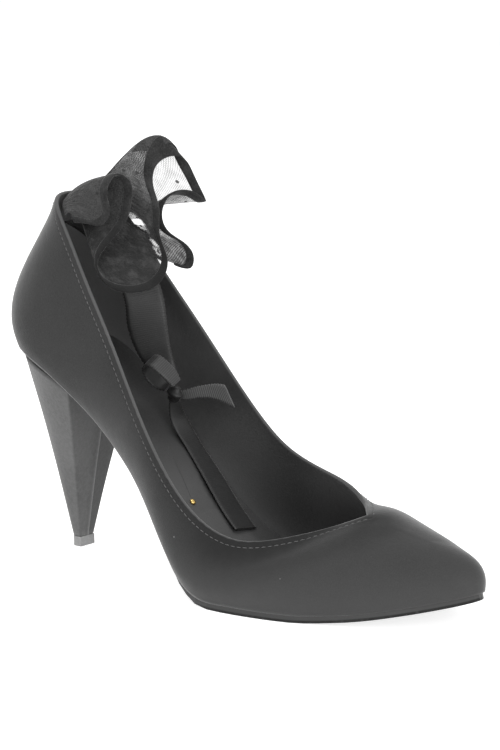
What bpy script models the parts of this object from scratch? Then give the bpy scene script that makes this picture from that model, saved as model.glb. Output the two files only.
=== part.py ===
"""A right-foot pump: pointed toe, cone heel, gathered cuff at the back of the collar and a ribbon tie.

The shoe frame while building is in millimetres: +X to the toe from the back of the heel seat,
+Y to the inner (medial) side, +Z up from the floor.  All pieces are moved together at the end
so that the origin is under the middle of the whole shoe.
"""
import bpy
import math
import numpy as np

for item in list(bpy.data.objects):
    bpy.data.objects.remove(item, do_unlink=True)

MM = 0.001
OUTER_SIDE = -1.0
INNER_SIDE = 1.0

# Driving sizes, millimetres
WALL = 1.7
TURN = 6.5
TOE_TURN = 3.4
GAP = 0.3
FOREFOOT_SOLE = 2.6
WAIST_SOLE = 2.0
INSOLE_THICK = 1.5
INSOLE_MARGIN = 0.35
INSOLE_SPREAD = 0.45
TOP_PIECE_HEIGHT = 4.2
TIP_BREAST_X = 27.0
TIP_HALF_WIDTH = 4.2
TIP_DEPTH = 6.4
TOE_POLE = (203.5, 4.6, 29.8)
THROAT = (177.5, 0.0, 36.6)
COLLAR_BACK = (20.2, 0.0, 150.3)

# Plan of the bottom edge of the upper, toe to heel: x, y of the outer side, y of the inner side
BOTTOM_EDGE = [
    (225.8, 6.8, 6.8),
    (223.2, 0.2, 13.2),
    (215.8, -7.2, 19.0),
    (203.0, -16.8, 25.2),
    (185.0, -26.6, 32.0),
    (165.0, -34.6, 37.2),
    (145.0, -39.2, 37.8),
    (125.0, -39.8, 32.5),
    (100.0, -31.0, 24.0),
    (75.0, -23.4, 20.2),
    (50.0, -23.8, 22.2),
    (25.0, -25.0, 25.0),
    (10.6, -21.2, 21.2),
    (2.2, -12.2, 12.2),
    (-1.0, 0.0, 0.0),
]

# Height of that edge over the floor: x, z
LIFT = [
    (-20.0, 95.0),
    (0.0, 89.8),
    (25.0, 81.2),
    (50.0, 65.8),
    (75.0, 43.2),
    (100.0, 17.4),
    (116.0, 6.6),
    (130.0, 2.9),
    (164.0, 2.9),
    (185.0, 4.6),
    (205.0, 8.2),
    (227.5, 13.6),
    (240.0, 17.0),
]

# Collar edge from the throat to the back: x, y and z of the outer side, y and z of the inner side
COLLAR = [
    (171.0, -8.0, 33.6, 8.0, 37.0),
    (163.0, -17.5, 30.8, 17.0, 37.0),
    (152.0, -26.5, 28.0, 25.0, 38.6),
    (140.0, -32.0, 27.0, 30.2, 40.3),
    (127.0, -34.0, 30.4, 32.0, 42.9),
    (112.0, -33.6, 39.7, 31.8, 48.9),
    (97.0, -32.0, 55.3, 30.5, 61.9),
    (82.0, -29.6, 76.2, 28.5, 79.8),
    (68.0, -27.0, 97.2, 26.6, 97.2),
    (53.0, -24.0, 117.6, 24.0, 115.9),
    (40.0, -20.9, 135.4, 20.9, 133.6),
    (29.5, -16.4, 146.0, 16.4, 145.4),
    (22.8, -9.2, 149.4, 9.2, 149.2),
]

# Shape of the wall by share of the way from toe to heel, one table a side:
# share, outward flare at the bottom (deg), bottom pull, fall from level at the top (deg), top pull
OUTER_WALL = [
    (0.00, 8.0, 0.42, 0.0, 0.50),
    (0.14, 18.0, 0.46, 9.0, 0.42),
    (0.25, 24.0, 0.48, 16.0, 0.34),
    (0.30, 26.0, 0.48, 28.0, 0.35),
    (0.36, 27.0, 0.46, 46.0, 0.37),
    (0.43, 28.0, 0.44, 66.0, 0.38),
    (0.60, 30.0, 0.38, 76.0, 0.36),
    (0.75, 28.0, 0.34, 78.0, 0.36),
    (0.88, 26.0, 0.34, 74.0, 0.36),
    (1.00, 32.0, 0.38, 62.0, 0.38),
]
INNER_WALL = [
    (0.00, 8.0, 0.42, 0.0, 0.50),
    (0.14, 18.0, 0.46, -7.0, 0.46),
    (0.25, 22.0, 0.48, -12.0, 0.42),
    (0.30, 24.0, 0.48, 10.0, 0.40),
    (0.36, 26.0, 0.46, 46.0, 0.40),
    (0.43, 28.0, 0.44, 78.0, 0.38),
    (0.60, 30.0, 0.38, 88.0, 0.36),
    (0.75, 28.0, 0.34, 88.0, 0.36),
    (0.88, 26.0, 0.34, 80.0, 0.36),
    (1.00, 32.0, 0.38, 62.0, 0.38),
]
FAN_STEPS = 8
RIDGE_STEPS = 7
COLLAR_STEPS = 28
ACROSS_STEPS = 11
EASE_PASSES = 6
EASE_IN = 0.5
EASE_OUT = 0.51
FAN_END_X = 200.0
THROAT_SIDE_X = 168.0
THROAT_HOLD = 0.15
THROAT_BLEND = 0.25
TURN_X = (200.0, 150.0)
WAIST_X = (95.0, 128.0)
SLOPE_STEP = 0.5


def level(rows, x):
    """Smooth height through rows of (x, z) that never overshoots a row."""
    rows = sorted(rows)
    xs = np.array([row[0] for row in rows])
    zs = np.array([row[1] for row in rows])
    step = np.diff(xs)
    rate = np.diff(zs) / step
    slope = np.zeros(len(xs))
    slope[0] = rate[0]
    slope[-1] = rate[-1]
    for i in range(1, len(xs) - 1):
        if rate[i - 1] * rate[i] > 0.0:
            before = 2.0 * step[i] + step[i - 1]
            after = step[i] + 2.0 * step[i - 1]
            slope[i] = (before + after) / (before / rate[i - 1] + after / rate[i])
    x = np.clip(np.asarray(x, float), xs[0], xs[-1])
    i = np.clip(np.searchsorted(xs, x) - 1, 0, len(step) - 1)
    u = (x - xs[i]) / step[i]
    return (
        zs[i] * (1.0 + 2.0 * u) * (1.0 - u) ** 2
        + slope[i] * step[i] * u * (1.0 - u) ** 2
        + zs[i + 1] * u * u * (3.0 - 2.0 * u)
        + slope[i + 1] * step[i] * u * u * (u - 1.0)
    )


def lift(x):
    return level(LIFT, x)


def steepness(x):
    """Rise of the sole for each millimetre forward."""
    return (lift(x + SLOPE_STEP) - lift(x - SLOPE_STEP)) / (2.0 * SLOPE_STEP)


def sole_normal(x):
    slope = float(steepness(x))
    return np.array([-slope, 0.0, 1.0]) / math.hypot(slope, 1.0)


def trace(points, start=None, end=None, count=500):
    """Dense line along a cubic spline through the points; start and end are directions."""
    points = np.array(points, float)
    span = np.linalg.norm(np.diff(points, axis=0), axis=1)
    knots = np.concatenate([[0.0], np.cumsum(span)])
    size = len(points)
    left = np.zeros((size, size))
    right = np.zeros((size, points.shape[1]))
    for i in range(1, size - 1):
        left[i, i - 1] = span[i - 1]
        left[i, i] = 2.0 * (span[i - 1] + span[i])
        left[i, i + 1] = span[i]
        ahead = (points[i + 1] - points[i]) / span[i]
        behind = (points[i] - points[i - 1]) / span[i - 1]
        right[i] = 6.0 * (ahead - behind)
    left[0, 0] = 2.0
    left[-1, -1] = 2.0
    if start is not None:
        left[0, 1] = 1.0
        right[0] = 6.0 / span[0] * ((points[1] - points[0]) / span[0] - np.array(start))
    if end is not None:
        left[-1, -2] = 1.0
        right[-1] = 6.0 / span[-1] * (np.array(end) - (points[-1] - points[-2]) / span[-1])
    bend = np.linalg.solve(left, right)
    t = np.linspace(0.0, knots[-1], count)
    i = np.clip(np.searchsorted(knots, t) - 1, 0, size - 2)
    h = span[i][:, None]
    a = (knots[i + 1] - t)[:, None] / h
    b = 1.0 - a
    curve = a * points[i] + b * points[i + 1]
    return curve + ((a ** 3 - a) * bend[i] + (b ** 3 - b) * bend[i + 1]) * h * h / 6.0


def shares(line):
    run = np.concatenate([[0.0], np.cumsum(np.linalg.norm(np.diff(line, axis=0), axis=1))])
    return run / run[-1]


def along(line, share):
    """Points at shares of the length of a dense line."""
    run = shares(line)
    return np.stack([np.interp(share, run, line[:, k]) for k in range(line.shape[1])], axis=-1)


def places_on(line, points):
    """Share of the length of a dense line at the place nearest to each point."""
    run = shares(line)
    return [run[np.argmin(np.linalg.norm(line - point, axis=1))] for point in points]


def unit(vector):
    vector = np.asarray(vector, float)
    return vector / np.maximum(np.linalg.norm(vector, axis=-1, keepdims=True), 1e-12)


def bottom_edge(side):
    """Bottom edge of one side of the upper from the toe tip to the back of the heel."""
    x, outer_y, inner_y = np.array(BOTTOM_EDGE).T
    y = outer_y if side == OUTER_SIDE else inner_y
    plan = trace(np.column_stack([x, y]), (0.0, side), (0.0, -side))
    return np.column_stack([plan, lift(plan[:, 0])])


def collar_edge(side):
    x, outer_y, outer_z, inner_y, inner_z = np.array(COLLAR).T
    rows = np.column_stack([x, outer_y, outer_z] if side == OUTER_SIDE else [x, inner_y, inner_z])
    return trace(np.vstack([THROAT, rows, COLLAR_BACK]), None, (0.0, -side, 0.0))


def ridge_line():
    """Centre line of the vamp from the pole of the toe back to the throat."""
    return trace([TOE_POLE, THROAT])


def outward(line, side):
    """Level direction square to a line that runs from toe to heel, pointing out of the shoe."""
    run = np.gradient(line[:, :2], axis=0)
    return unit(np.column_stack([-side * run[:, 1], side * run[:, 0], np.zeros(len(run))])) * -1.0


def share_at_x(line, x):
    first = int(np.argmax(line[:, 0] < x))
    return shares(line)[first]


def wall_sections(side):
    """One curved section per step from the toe tip to the back centre, bottom edge to top edge."""
    edge = bottom_edge(side)
    away = outward(edge, side)
    fan_end = share_at_x(edge, FAN_END_X)
    throat_end = share_at_x(edge, THROAT_SIDE_X)
    pole = np.array(TOE_POLE)
    forward = unit(pole - np.array(THROAT))
    across = np.array([0.0, side, 0.0])
    ridge = ridge_line()
    collar = collar_edge(side)
    collar_away = outward(collar, side)
    stops = []
    for k in range(FAN_STEPS):
        turn = math.pi / 2.0 * k / FAN_STEPS
        stops.append((fan_end * k / FAN_STEPS, pole, math.cos(turn) * forward + math.sin(turn) * across))
    for k in range(RIDGE_STEPS):
        part = k / RIDGE_STEPS
        share = fan_end + (throat_end - fan_end) * part
        stops.append((share, along(ridge, part), across))
    for k in range(COLLAR_STEPS + 1):
        part = k / COLLAR_STEPS
        share = throat_end + (1.0 - throat_end) * part
        blend = min(1.0, max(0.0, part - THROAT_HOLD) / THROAT_BLEND)
        top_away = unit((1.0 - blend) * across + blend * along(collar_away, part))
        stops.append((share, along(collar, part), top_away))
    places, flares, pulls, falls, top_pulls = np.array(OUTER_WALL if side == OUTER_SIDE else INNER_WALL).T
    up = np.array([0.0, 0.0, 1.0])
    t = np.linspace(0.0, 1.0, ACROSS_STEPS)[:, None]
    sections = []
    for share, top, top_away in stops:
        flare = math.radians(np.interp(share, places, flares))
        pull = np.interp(share, places, pulls)
        fall = math.radians(np.interp(share, places, falls))
        top_pull = np.interp(share, places, top_pulls)
        foot = along(edge, share)
        foot_away = unit(along(away, share))
        reach = np.linalg.norm(top - foot)
        low = foot + pull * reach * (math.cos(flare) * up + math.sin(flare) * foot_away)
        high = top + top_pull * reach * (math.cos(fall) * top_away - math.sin(fall) * up)
        wall = (
            (1.0 - t) ** 3 * foot + 3.0 * t * (1.0 - t) ** 2 * low
            + 3.0 * t * t * (1.0 - t) * high + t ** 3 * top
        )
        turned = foot - foot_away * np.interp(foot[0], TURN_X[::-1], (TURN, TOE_TURN))
        turned[2] = lift(turned[0])
        sections.append(np.vstack([turned, wall]))
    return np.array(sections)


def eased(outer, inner):
    """Takes small kinks out all round the shoe; the bottom and top edges stay."""
    ring = np.concatenate([outer, inner[-2:0:-1]])
    for _ in range(EASE_PASSES):
        for pull in (EASE_IN, -EASE_OUT):
            bend = 0.5 * (np.roll(ring, 1, axis=0) + np.roll(ring, -1, axis=0)) - ring
            ring[:, 2:-1] += pull * bend[:, 2:-1]
    last = len(outer) - 1
    other_way = np.concatenate([ring[:1], ring[:last - 1:-1]])
    return ring[:last + 1], other_way


def point_normals(points, faces):
    normals = np.zeros_like(points)
    for face in faces:
        corner = points[list(face)]
        area = np.zeros(3)
        for i in range(1, len(face) - 1):
            area += np.cross(corner[i] - corner[0], corner[i + 1] - corner[0])
        for index in face:
            normals[index] += area
    return unit(normals)


def material(name, colour, roughness, metallic=0.0):
    made = bpy.data.materials.new(name)
    made.use_nodes = True
    shader = made.node_tree.nodes["Principled BSDF"]
    shader.inputs["Base Color"].default_value = (*colour, 1.0)
    shader.inputs["Roughness"].default_value = roughness
    shader.inputs["Metallic"].default_value = metallic
    made.diffuse_color = (*colour, 1.0)
    return made


def solid(name, points, faces, finish, smooth=True):
    """Mesh object from points in millimetres."""
    mesh = bpy.data.meshes.new(name)
    mesh.from_pydata([tuple(p * MM) for p in np.asarray(points)], [], [tuple(f) for f in faces])
    mesh.update()
    mesh.materials.append(finish)
    if smooth:
        mesh.polygons.foreach_set("use_smooth", [True] * len(mesh.polygons))
    made = bpy.data.objects.new(name, mesh)
    bpy.context.scene.collection.objects.link(made)
    return made


def upper_skin():
    """Outer skin of the upper as points and faces; both sides share the centre lines."""
    outer, inner = eased(wall_sections(OUTER_SIDE), wall_sections(INNER_SIDE))
    sides = {OUTER_SIDE: outer, INNER_SIDE: inner}
    points = []
    number = {}
    last = FAN_STEPS + RIDGE_STEPS + COLLAR_STEPS
    throat = FAN_STEPS + RIDGE_STEPS

    def index(side, k, j):
        centre = k == 0 or k == last or (j == ACROSS_STEPS and k <= throat)
        row = FAN_STEPS if j == ACROSS_STEPS and k < FAN_STEPS else k
        if j == ACROSS_STEPS and k == 0:
            row = FAN_STEPS
        key = (OUTER_SIDE if centre else side, row, j)
        if key not in number:
            number[key] = len(points)
            points.append(sides[key[0]][row][j])
        return number[key]

    faces = []
    for side in (OUTER_SIDE, INNER_SIDE):
        for k in range(last):
            for j in range(ACROSS_STEPS):
                ring = [index(side, k, j), index(side, k + 1, j)]
                ring += [index(side, k + 1, j + 1), index(side, k, j + 1)]
                ring = [v for i, v in enumerate(ring) if v != ring[i - 1]]
                faces.append(ring if side == INNER_SIDE else ring[::-1])
    return np.array(points), faces


def shell(points, faces, thick):
    """Closed wall: a skin, the skin moved inward, and rims round its free edges."""
    inner = points - thick * point_normals(points, faces)
    count = len(points)
    used = {}
    for face in faces:
        for a, b in zip(face, face[1:] + face[:1]):
            used[(a, b)] = True
    rims = [(b, a, a + count, b + count) for a, b in used if (b, a) not in used]
    lining = [[v + count for v in face][::-1] for face in faces]
    return np.vstack([points, inner]), faces + lining + rims


def sole_edges(margin):
    """Outer and inner plan edges moved out of the shoe by a margin that depends on x."""
    edges = []
    for side in (OUTER_SIDE, INNER_SIDE):
        edge = bottom_edge(side)
        moved = edge + outward(edge, side) * margin(edge[:, 0])[:, None]
        edges.append(moved[:, :2])
    return edges


SOLE_STATIONS = 52
SOLE_ACROSS = 4


def plan_grid(margin):
    """Rows of plan points across the sole, one per station, a single point at the toe and the heel."""
    even = np.linspace(0.0, 1.0, SOLE_STATIONS + 1)
    part = 0.5 * even + 0.25 * (1.0 - np.cos(math.pi * even))
    outer, inner = [along(edge, part) for edge in sole_edges(margin)]
    steps = np.linspace(0.0, 1.0, SOLE_ACROSS + 1)
    grid = [[outer[i] + s * (inner[i] - outer[i]) for s in steps] for i in range(SOLE_STATIONS + 1)]
    grid[0] = [0.5 * (outer[0] + inner[0])]
    grid[-1] = [0.5 * (outer[-1] + inner[-1])]
    return grid


def sole_sheet(margins, bottom, thick):
    """Closed sheet that follows the lift of the sole: bottom is its depth under the upper's edge,
    margins are those of its underside and its top."""
    points = []
    layers = []
    for layer in (0, 1):
        rows = []
        for row in plan_grid(margins[layer]):
            ids = []
            for x, y in row:
                down = bottom(x) - (thick(x) if layer else 0.0)
                ids.append(len(points))
                points.append(np.array([x, y, float(lift(x))]) - down * sole_normal(x))
            rows.append(ids)
        layers.append(rows)
    low, high = layers
    faces = []
    for i in range(SOLE_STATIONS):
        for rows, flip in ((low, False), (high, True)):
            a, b = rows[i], rows[i + 1]
            for j in range(SOLE_ACROSS):
                ring = [a[min(j, len(a) - 1)], b[min(j, len(b) - 1)],
                        b[min(j + 1, len(b) - 1)], a[min(j + 1, len(a) - 1)]]
                ring = [v for n, v in enumerate(ring) if v != ring[n - 1]]
                if len(ring) > 2:
                    faces.append(ring[::-1] if flip else ring)
        for end, flip in ((0, False), (-1, True)):
            ring = [low[i][end], high[i][end], high[i + 1][end], low[i + 1][end]]
            faces.append(ring[::-1] if flip else ring)
    return np.array(points), faces


def sole_thickness(x):
    return float(np.interp(x, WAIST_X, (WAIST_SOLE, FOREFOOT_SOLE)))


def sole_margin(x):
    xs, margins = np.array(SOLE_MARGIN).T
    return np.interp(x, xs, margins)


def outsole_depth(x):
    """Depth of the outsole's underside below the bottom edge of the upper."""
    return GAP + sole_thickness(x)


def insole_depth(x):
    """Depth of the insole's underside, which lies above the wall's turned margin."""
    return -(WALL + GAP)


def insole_thickness(x):
    return INSOLE_THICK


def insole_low(x):
    return np.full_like(np.asarray(x, float), -(WALL + INSOLE_MARGIN))


def insole_high(x):
    return insole_low(x) + INSOLE_SPREAD


# Outsole edge outside the bottom edge of the upper: x, margin
SOLE_MARGIN = [
    (0.0, -2.0),
    (60.0, -4.0),
    (95.0, -3.6),
    (128.0, 0.0),
    (195.0, 0.0),
    (226.0, -1.2),
]

# Heel: share of the way down, breast x, half width of the breast, x of the widest place,
# half width there, x of the back
HEEL_SECTIONS = [
    (0.00, 37.6, 20.2, 24.0, 22.4, 1.2),
    (0.33, 34.2, 14.6, 23.6, 15.4, 8.8),
    (0.66, 30.6, 9.2, 23.6, 9.5, 15.2),
    (1.00, TIP_BREAST_X, TIP_HALF_WIDTH - 0.1, 24.4, TIP_HALF_WIDTH, TIP_BREAST_X - TIP_DEPTH),
]
HEEL_STEPS = 12
HEEL_ROUND = 16
HEEL_SIDE_STEPS = 4
HEEL_BREAST_STEPS = 4


def heel_outline(breast, breast_half, middle, half, back):
    """Level outline: flat breast to the front, full sides and a half oval to the back."""
    side = []
    for i in range(HEEL_SIDE_STEPS):
        ahead = 1.0 - i / HEEL_SIDE_STEPS
        swell = math.cos(math.pi / 2.0 * ahead)
        side.append((middle + ahead * (breast - middle), breast_half + swell * (half - breast_half)))
    ring = [(x, -y) for x, y in side]
    for i in range(HEEL_ROUND + 1):
        turn = math.pi * i / HEEL_ROUND
        ring.append((middle - (middle - back) * math.sin(turn), -half * math.cos(turn)))
    ring += side[::-1]
    for i in range(1, HEEL_BREAST_STEPS):
        ring.append((breast, breast_half - 2.0 * breast_half * i / HEEL_BREAST_STEPS))
    return np.array(ring[::-1])


def seat_height(x):
    """Underside of the sole at the heel seat, less the gap."""
    return lift(x) - (GAP + WAIST_SOLE + GAP) * np.hypot(steepness(x), 1.0)


def heel_sizes(share):
    """Breast x, half width of the breast, x of the widest place, half width there and x of the back."""
    down, *sizes = np.array(HEEL_SECTIONS).T
    return [float(level(list(zip(down, size)), share)) for size in sizes]


def capped_loft(rings):
    count = len(rings[0])
    points = np.vstack(rings)
    faces = []
    for i in range(len(rings) - 1):
        for j in range(count):
            k = (j + 1) % count
            faces.append([i * count + j, i * count + k, (i + 1) * count + k, (i + 1) * count + j])
    faces.append(list(range(count))[::-1])
    faces.append([(len(rings) - 1) * count + j for j in range(count)])
    return points, faces


def heel_solid():
    rings = []
    foot = TOP_PIECE_HEIGHT + GAP
    for i in range(HEEL_STEPS + 1):
        share = i / HEEL_STEPS
        ring = heel_outline(*heel_sizes(share))
        z = (1.0 - share) * seat_height(ring[:, 0]) + share * foot
        rings.append(np.column_stack([ring, z]))
    return capped_loft(rings[::-1])


def top_piece_solid():
    ring = heel_outline(*heel_sizes(1.0))
    rings = [np.column_stack([ring, np.full(len(ring), z)]) for z in (0.0, TOP_PIECE_HEIGHT)]
    return capped_loft(rings)


# Gathered cuff: the strip is gathered along the inside of the collar and its free edge runs in folds.
# One row a fold of the free edge: share of the way along the gathered edge, x, y, z,
# width of the binding, rise of the arch over the line to the free edge, share of that line where it arches
RUFFLE_FOLDS = [
    (0, 39.4, -15.2, 139.8, 3.0, 6.0, 0.30),
    (0.04, 45.2, -14.2, 139.7, 3.6, 6.0, 0.30),
    (0.08, 50.9, -12.0, 139.4, 4.0, 6.0, 0.30),
    (0.11, 53.9, -9.7, 143.9, 4.0, 6.0, 0.30),
    (0.14, 51.5, -8.7, 150.9, 4.0, 6.0, 0.30),
    (0.16, 50.5, -6.4, 155.5, 4.0, 6.5, 0.30),
    (0.18, 50.6, -0.6, 159.1, 4.0, 7.0, 0.30),
    (0.21, 52.9, 3.3, 156.1, 4.0, 7.0, 0.30),
    (0.235, 54.7, 2.4, 148.9, 4.0, 5.5, 0.30),
    (0.26, 56.0, -2.7, 140.1, 4.0, 4.0, 0.30),
    (0.285, 55.2, -11.3, 132.8, 4.0, 2.0, 0.30),
    (0.31, 54.4, -18.3, 123.8, 4.0, 1.0, 0.30),
    (0.33, 60.0, -17.9, 116.1, 4.2, 1.0, 0.30),
    (0.36, 68.2, -11.5, 113.3, 4.4, 1.0, 0.30),
    (0.38, 72.1, -2.2, 115.7, 4.2, 2.0, 0.30),
    (0.4, 70.3, 6.4, 124.0, 4.0, 5.0, 0.30),
    (0.41, 62.5, 10.3, 134.4, 4.0, 9.0, 0.30),
    (0.42, 57.6, 15.3, 144.7, 4.0, 11.0, 0.35),
    (0.43, 50.4, 19.5, 154.2, 4.2, 12.0, 0.45),
    (0.44, 48.8, 23.8, 160.8, 5.5, 17.0, 0.75),
    (0.455, 49.9, 28.1, 163.4, 10.0, 26.0, 0.86),
    (0.47, 51.6, 33.1, 163.9, 11.5, 28.0, 0.90),
    (0.485, 52.9, 37.1, 162.0, 8.0, 19.0, 0.80),
    (0.505, 54.6, 38.9, 157.8, 4.4, 9.0, 0.50),
    (0.53, 58.6, 39.3, 150.9, 4.0, 4.0, 0.50),
    (0.56, 63.2, 37.9, 145.5, 4.0, -2.0, 0.40),
    (0.58, 63.0, 33.2, 148.8, 4.0, -6.0, 0.60),
    (0.6, 60.7, 29.0, 150.7, 4.0, -7.0, 0.60),
    (0.63, 58.1, 24.5, 150.1, 4.0, -4.0, 0.40),
    (0.66, 55.5, 21.1, 145.7, 4.0, 0.0, 0.30),
    (0.7, 54.7, 20.6, 138.2, 4.0, 1.0, 0.30),
    (0.75, 57.1, 22.7, 132.8, 4.0, 2.0, 0.30),
    (0.8, 61.9, 26.5, 128.6, 4.0, 3.0, 0.30),
    (0.87, 65.5, 27.4, 122.5, 4.0, 4.0, 0.40),
    (0.93, 64.9, 26.1, 118.9, 3.4, 2.0, 0.40),
    (1, 61.4, 23.2, 119.7, 3.0, 1.0, 0.40),
]
# Cells along and across the sheer part and its binding, crowded toward both edges by a share
RUFFLE_STEPS = 92
RUFFLE_ACROSS = 5
RUFFLE_HEM_ACROSS = 4
RUFFLE_CROWD = 0.1
RUFFLE_THICK = 0.5
RUFFLE_HEM_THICK = 0.8
RUFFLE_GAP = 0.8
GATHER_NEAR = 0.89
GATHER_FAR = 0.78
GATHER_IN = 3.2
GATHER_DOWN = 1.6
FREE_EDGE_COUNT = 1200
ARCH_COUNT = 41


def gathered_edge():
    """Line inside the collar from the near side round the back to the far side."""
    near = collar_edge(OUTER_SIDE)
    far = collar_edge(INNER_SIDE)
    near_in = near - outward(near, OUTER_SIDE) * GATHER_IN
    far_in = far - outward(far, INNER_SIDE) * GATHER_IN
    line = np.vstack([near_in[shares(near) >= GATHER_NEAR], far_in[shares(far) >= GATHER_FAR][::-1]])
    line[:, 2] -= GATHER_DOWN
    return line


def ruffle_grid(binding, count):
    """Rows of points across the strip, one row a step along it: the sheer part or its binding."""
    gather, x, y, z, widths, rises, leans = np.array(RUFFLE_FOLDS).T
    folds = np.column_stack([x, y, z])
    free = trace(folds, count=FREE_EDGE_COUNT)
    place = places_on(free, folds)
    step = np.linspace(0.0, 1.0, RUFFLE_STEPS + 1)
    base = along(gathered_edge(), np.interp(step, place, gather))
    width = np.interp(step, place, widths)
    rise = np.interp(step, place, rises)
    lean = np.interp(step, place, leans)
    tip = along(free, step)
    over = base + rise[:, None] * np.array([0.0, 0.0, 1.0]) + lean[:, None] * (tip - base)
    t = np.linspace(0.0, 1.0, ARCH_COUNT)[:, None, None]
    sheet = (1.0 - t) ** 2 * base + 2.0 * t * (1.0 - t) * over + t * t * tip
    even = np.linspace(0.0, 1.0, count)
    spread = even - RUFFLE_CROWD * np.sin(2.0 * math.pi * even)
    made = []
    for i in range(RUFFLE_STEPS + 1):
        line = sheet[:, i]
        length = np.linalg.norm(np.diff(line, axis=0), axis=1).sum()
        first = 1.0 - width[i] / length if binding else 0.0
        last = 1.0 if binding else 1.0 - (width[i] + RUFFLE_GAP) / length
        made.append(along(line, first + (last - first) * spread))
    return np.array(made)


def slab(grid, thick):
    """Closed sheet of even thickness on both sides of a grid of points."""
    normal = unit(np.cross(np.gradient(grid, axis=0), np.gradient(grid, axis=1)))
    rows, columns = grid.shape[:2]
    front = grid + 0.5 * thick * normal
    back = grid - 0.5 * thick * normal
    points = np.vstack([front.reshape(-1, 3), back.reshape(-1, 3)])
    half = rows * columns
    faces = []
    for i in range(rows - 1):
        for j in range(columns - 1):
            corner = i * columns + j
            ring = [corner, corner + columns, corner + columns + 1, corner + 1]
            faces.append(ring)
            faces.append([v + half for v in ring][::-1])
    border = [i * columns for i in range(rows)]
    border += [(rows - 1) * columns + j for j in range(1, columns)]
    border += [i * columns + columns - 1 for i in range(rows - 2, -1, -1)]
    border += list(range(columns - 2, 0, -1))
    for a, b in zip(border, border[1:] + border[:1]):
        faces.append([b, a, a + half, b + half])
    return points, faces


# Ribbon tie.  One row a bend: x, y, z, half width, then the way across the ribbon as turn from +X
# in plan and tilt from level (deg).  The tail's z is its height over the insole.
RIBBON_THICK = 0.7
RIBBON_CLEAR = 1.2
RIBBON_STRAP = [
    (23.5, 1.0, 138.5, 7.0, 90.0, 0.0),
    (35.0, 1.6, 134.0, 7.2, 85.0, 0.0),
    (47.0, 2.4, 125.5, 7.4, 72.0, 0.0),
    (56.1, 3.5, 115.3, 7.6, 55.0, 0.0),
    (59.4, 4.0, 106.0, 7.8, 44.0, -4.0),
    (59.8, 4.5, 98.6, 8.0, 41.0, -6.0),
    (60.4, 6.1, 90.9, 7.4, 41.0, -6.0),
    (61.8, 8.0, 84.1, 6.2, 41.0, -6.0),
    (64.7, 9.6, 78.0, 4.8, 41.0, -5.0),
    (68.8, 9.2, 73.1, 3.0, 41.0, -5.0),
]
RIBBON_LOOP = [
    (71.2, 4.7, 72.6, 2.2, 90.0, 29.0),
    (68.3, 4.4, 73.2, 2.8, 90.0, 29.0),
    (65.1, 2.9, 75.9, 3.2, 90.0, 29.0),
    (63.7, 0.7, 79.9, 3.3, 90.0, 29.0),
    (65.4, -1.2, 83.4, 3.4, 90.0, 29.0),
    (69.4, -1.7, 84.4, 3.4, 90.0, 29.0),
    (73.5, -0.1, 81.4, 3.3, 90.0, 29.0),
    (76.0, 1.8, 78.0, 3.0, 90.0, 29.0),
    (76.8, 3.3, 75.1, 2.4, 90.0, 29.0),
]
RIBBON_SHORT_END = [
    (76.4, 8.8, 69.4, 2.0, 221.0, 74.0),
    (79.6, 11.4, 70.3, 2.2, 221.0, 76.0),
    (83.8, 14.7, 70.9, 2.6, 221.0, 76.0),
    (88.1, 17.2, 70.4, 3.8, 221.0, 72.0),
    (91.8, 19.1, 69.1, 5.1, 221.0, 66.0),
]
RIBBON_TAIL = [
    (72.0, 7.6, 14.4, 2.4, 55.0, 0.0),
    (71.4, 9.2, 9.0, 3.2, 70.0, 0.0),
    (72.6, 11.6, 4.4, 4.0, 80.0, 0.0),
    (77.4, 12.9, 1.6, 4.4, 88.0, 0.0),
    (84.9, 12.7, 1.5, 5.2, 92.0, 0.0),
    (91.5, 12.0, 2.2, 5.7, 93.0, 0.0),
    (97.6, 11.8, 1.5, 5.9, 94.0, 0.0),
    (107.0, 10.7, 1.5, 6.1, 97.0, 0.0),
]
RIBBON_STEPS = 24
RIBBON_COUNT = 800
KNOT_CENTRE = (72.8, 6.6, 69.8)
KNOT_RADII = (3.4, 3.0, 3.6)
KNOT_TURNS = 10
KNOT_RINGS = 7
STUD_X = 92.4
STUD_Y = -5.1
STUD_RADIUS = 1.3
STUD_HEIGHT = 0.7

# Profile of the stud from its seat up: share of the radius, share of the height
STUD_PROFILE = [
    (1.0, 0.0),
    (1.0, 0.4),
    (0.6, 1.0),
]


def insole_top(x):
    """Height of the insole's upper face."""
    return lift(x) + (WALL + GAP + INSOLE_THICK) * np.hypot(steepness(x), 1.0)


def ribbon(rows, over_insole=False, square=True):
    """Grid of points along a length of ribbon, three across."""
    x, y, z, halves, turns, tilts = np.array(rows).T
    if over_insole:
        z = z + insole_top(x)
    bends = np.column_stack([x, y, z])
    line = trace(bends, count=RIBBON_COUNT)
    place = places_on(line, bends)
    step = np.linspace(0.0, 1.0, RIBBON_STEPS + 1)
    centre = along(line, step)
    if over_insole:
        low = insole_top(centre[:, 0]) + RIBBON_CLEAR
        centre[:, 2] = np.maximum(centre[:, 2], low)
    half = np.interp(step, place, halves)
    turn = np.radians(np.interp(step, place, turns))
    tilt = np.radians(np.interp(step, place, tilts))
    way = np.column_stack([np.cos(tilt) * np.cos(turn), np.cos(tilt) * np.sin(turn), np.sin(tilt)])
    if square:
        run_way = unit(np.gradient(centre, axis=0))
        way = unit(way - (way * run_way).sum(axis=1)[:, None] * run_way)
    return np.stack([centre + s * half[:, None] * way for s in (-1.0, 0.0, 1.0)], axis=1)


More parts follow.
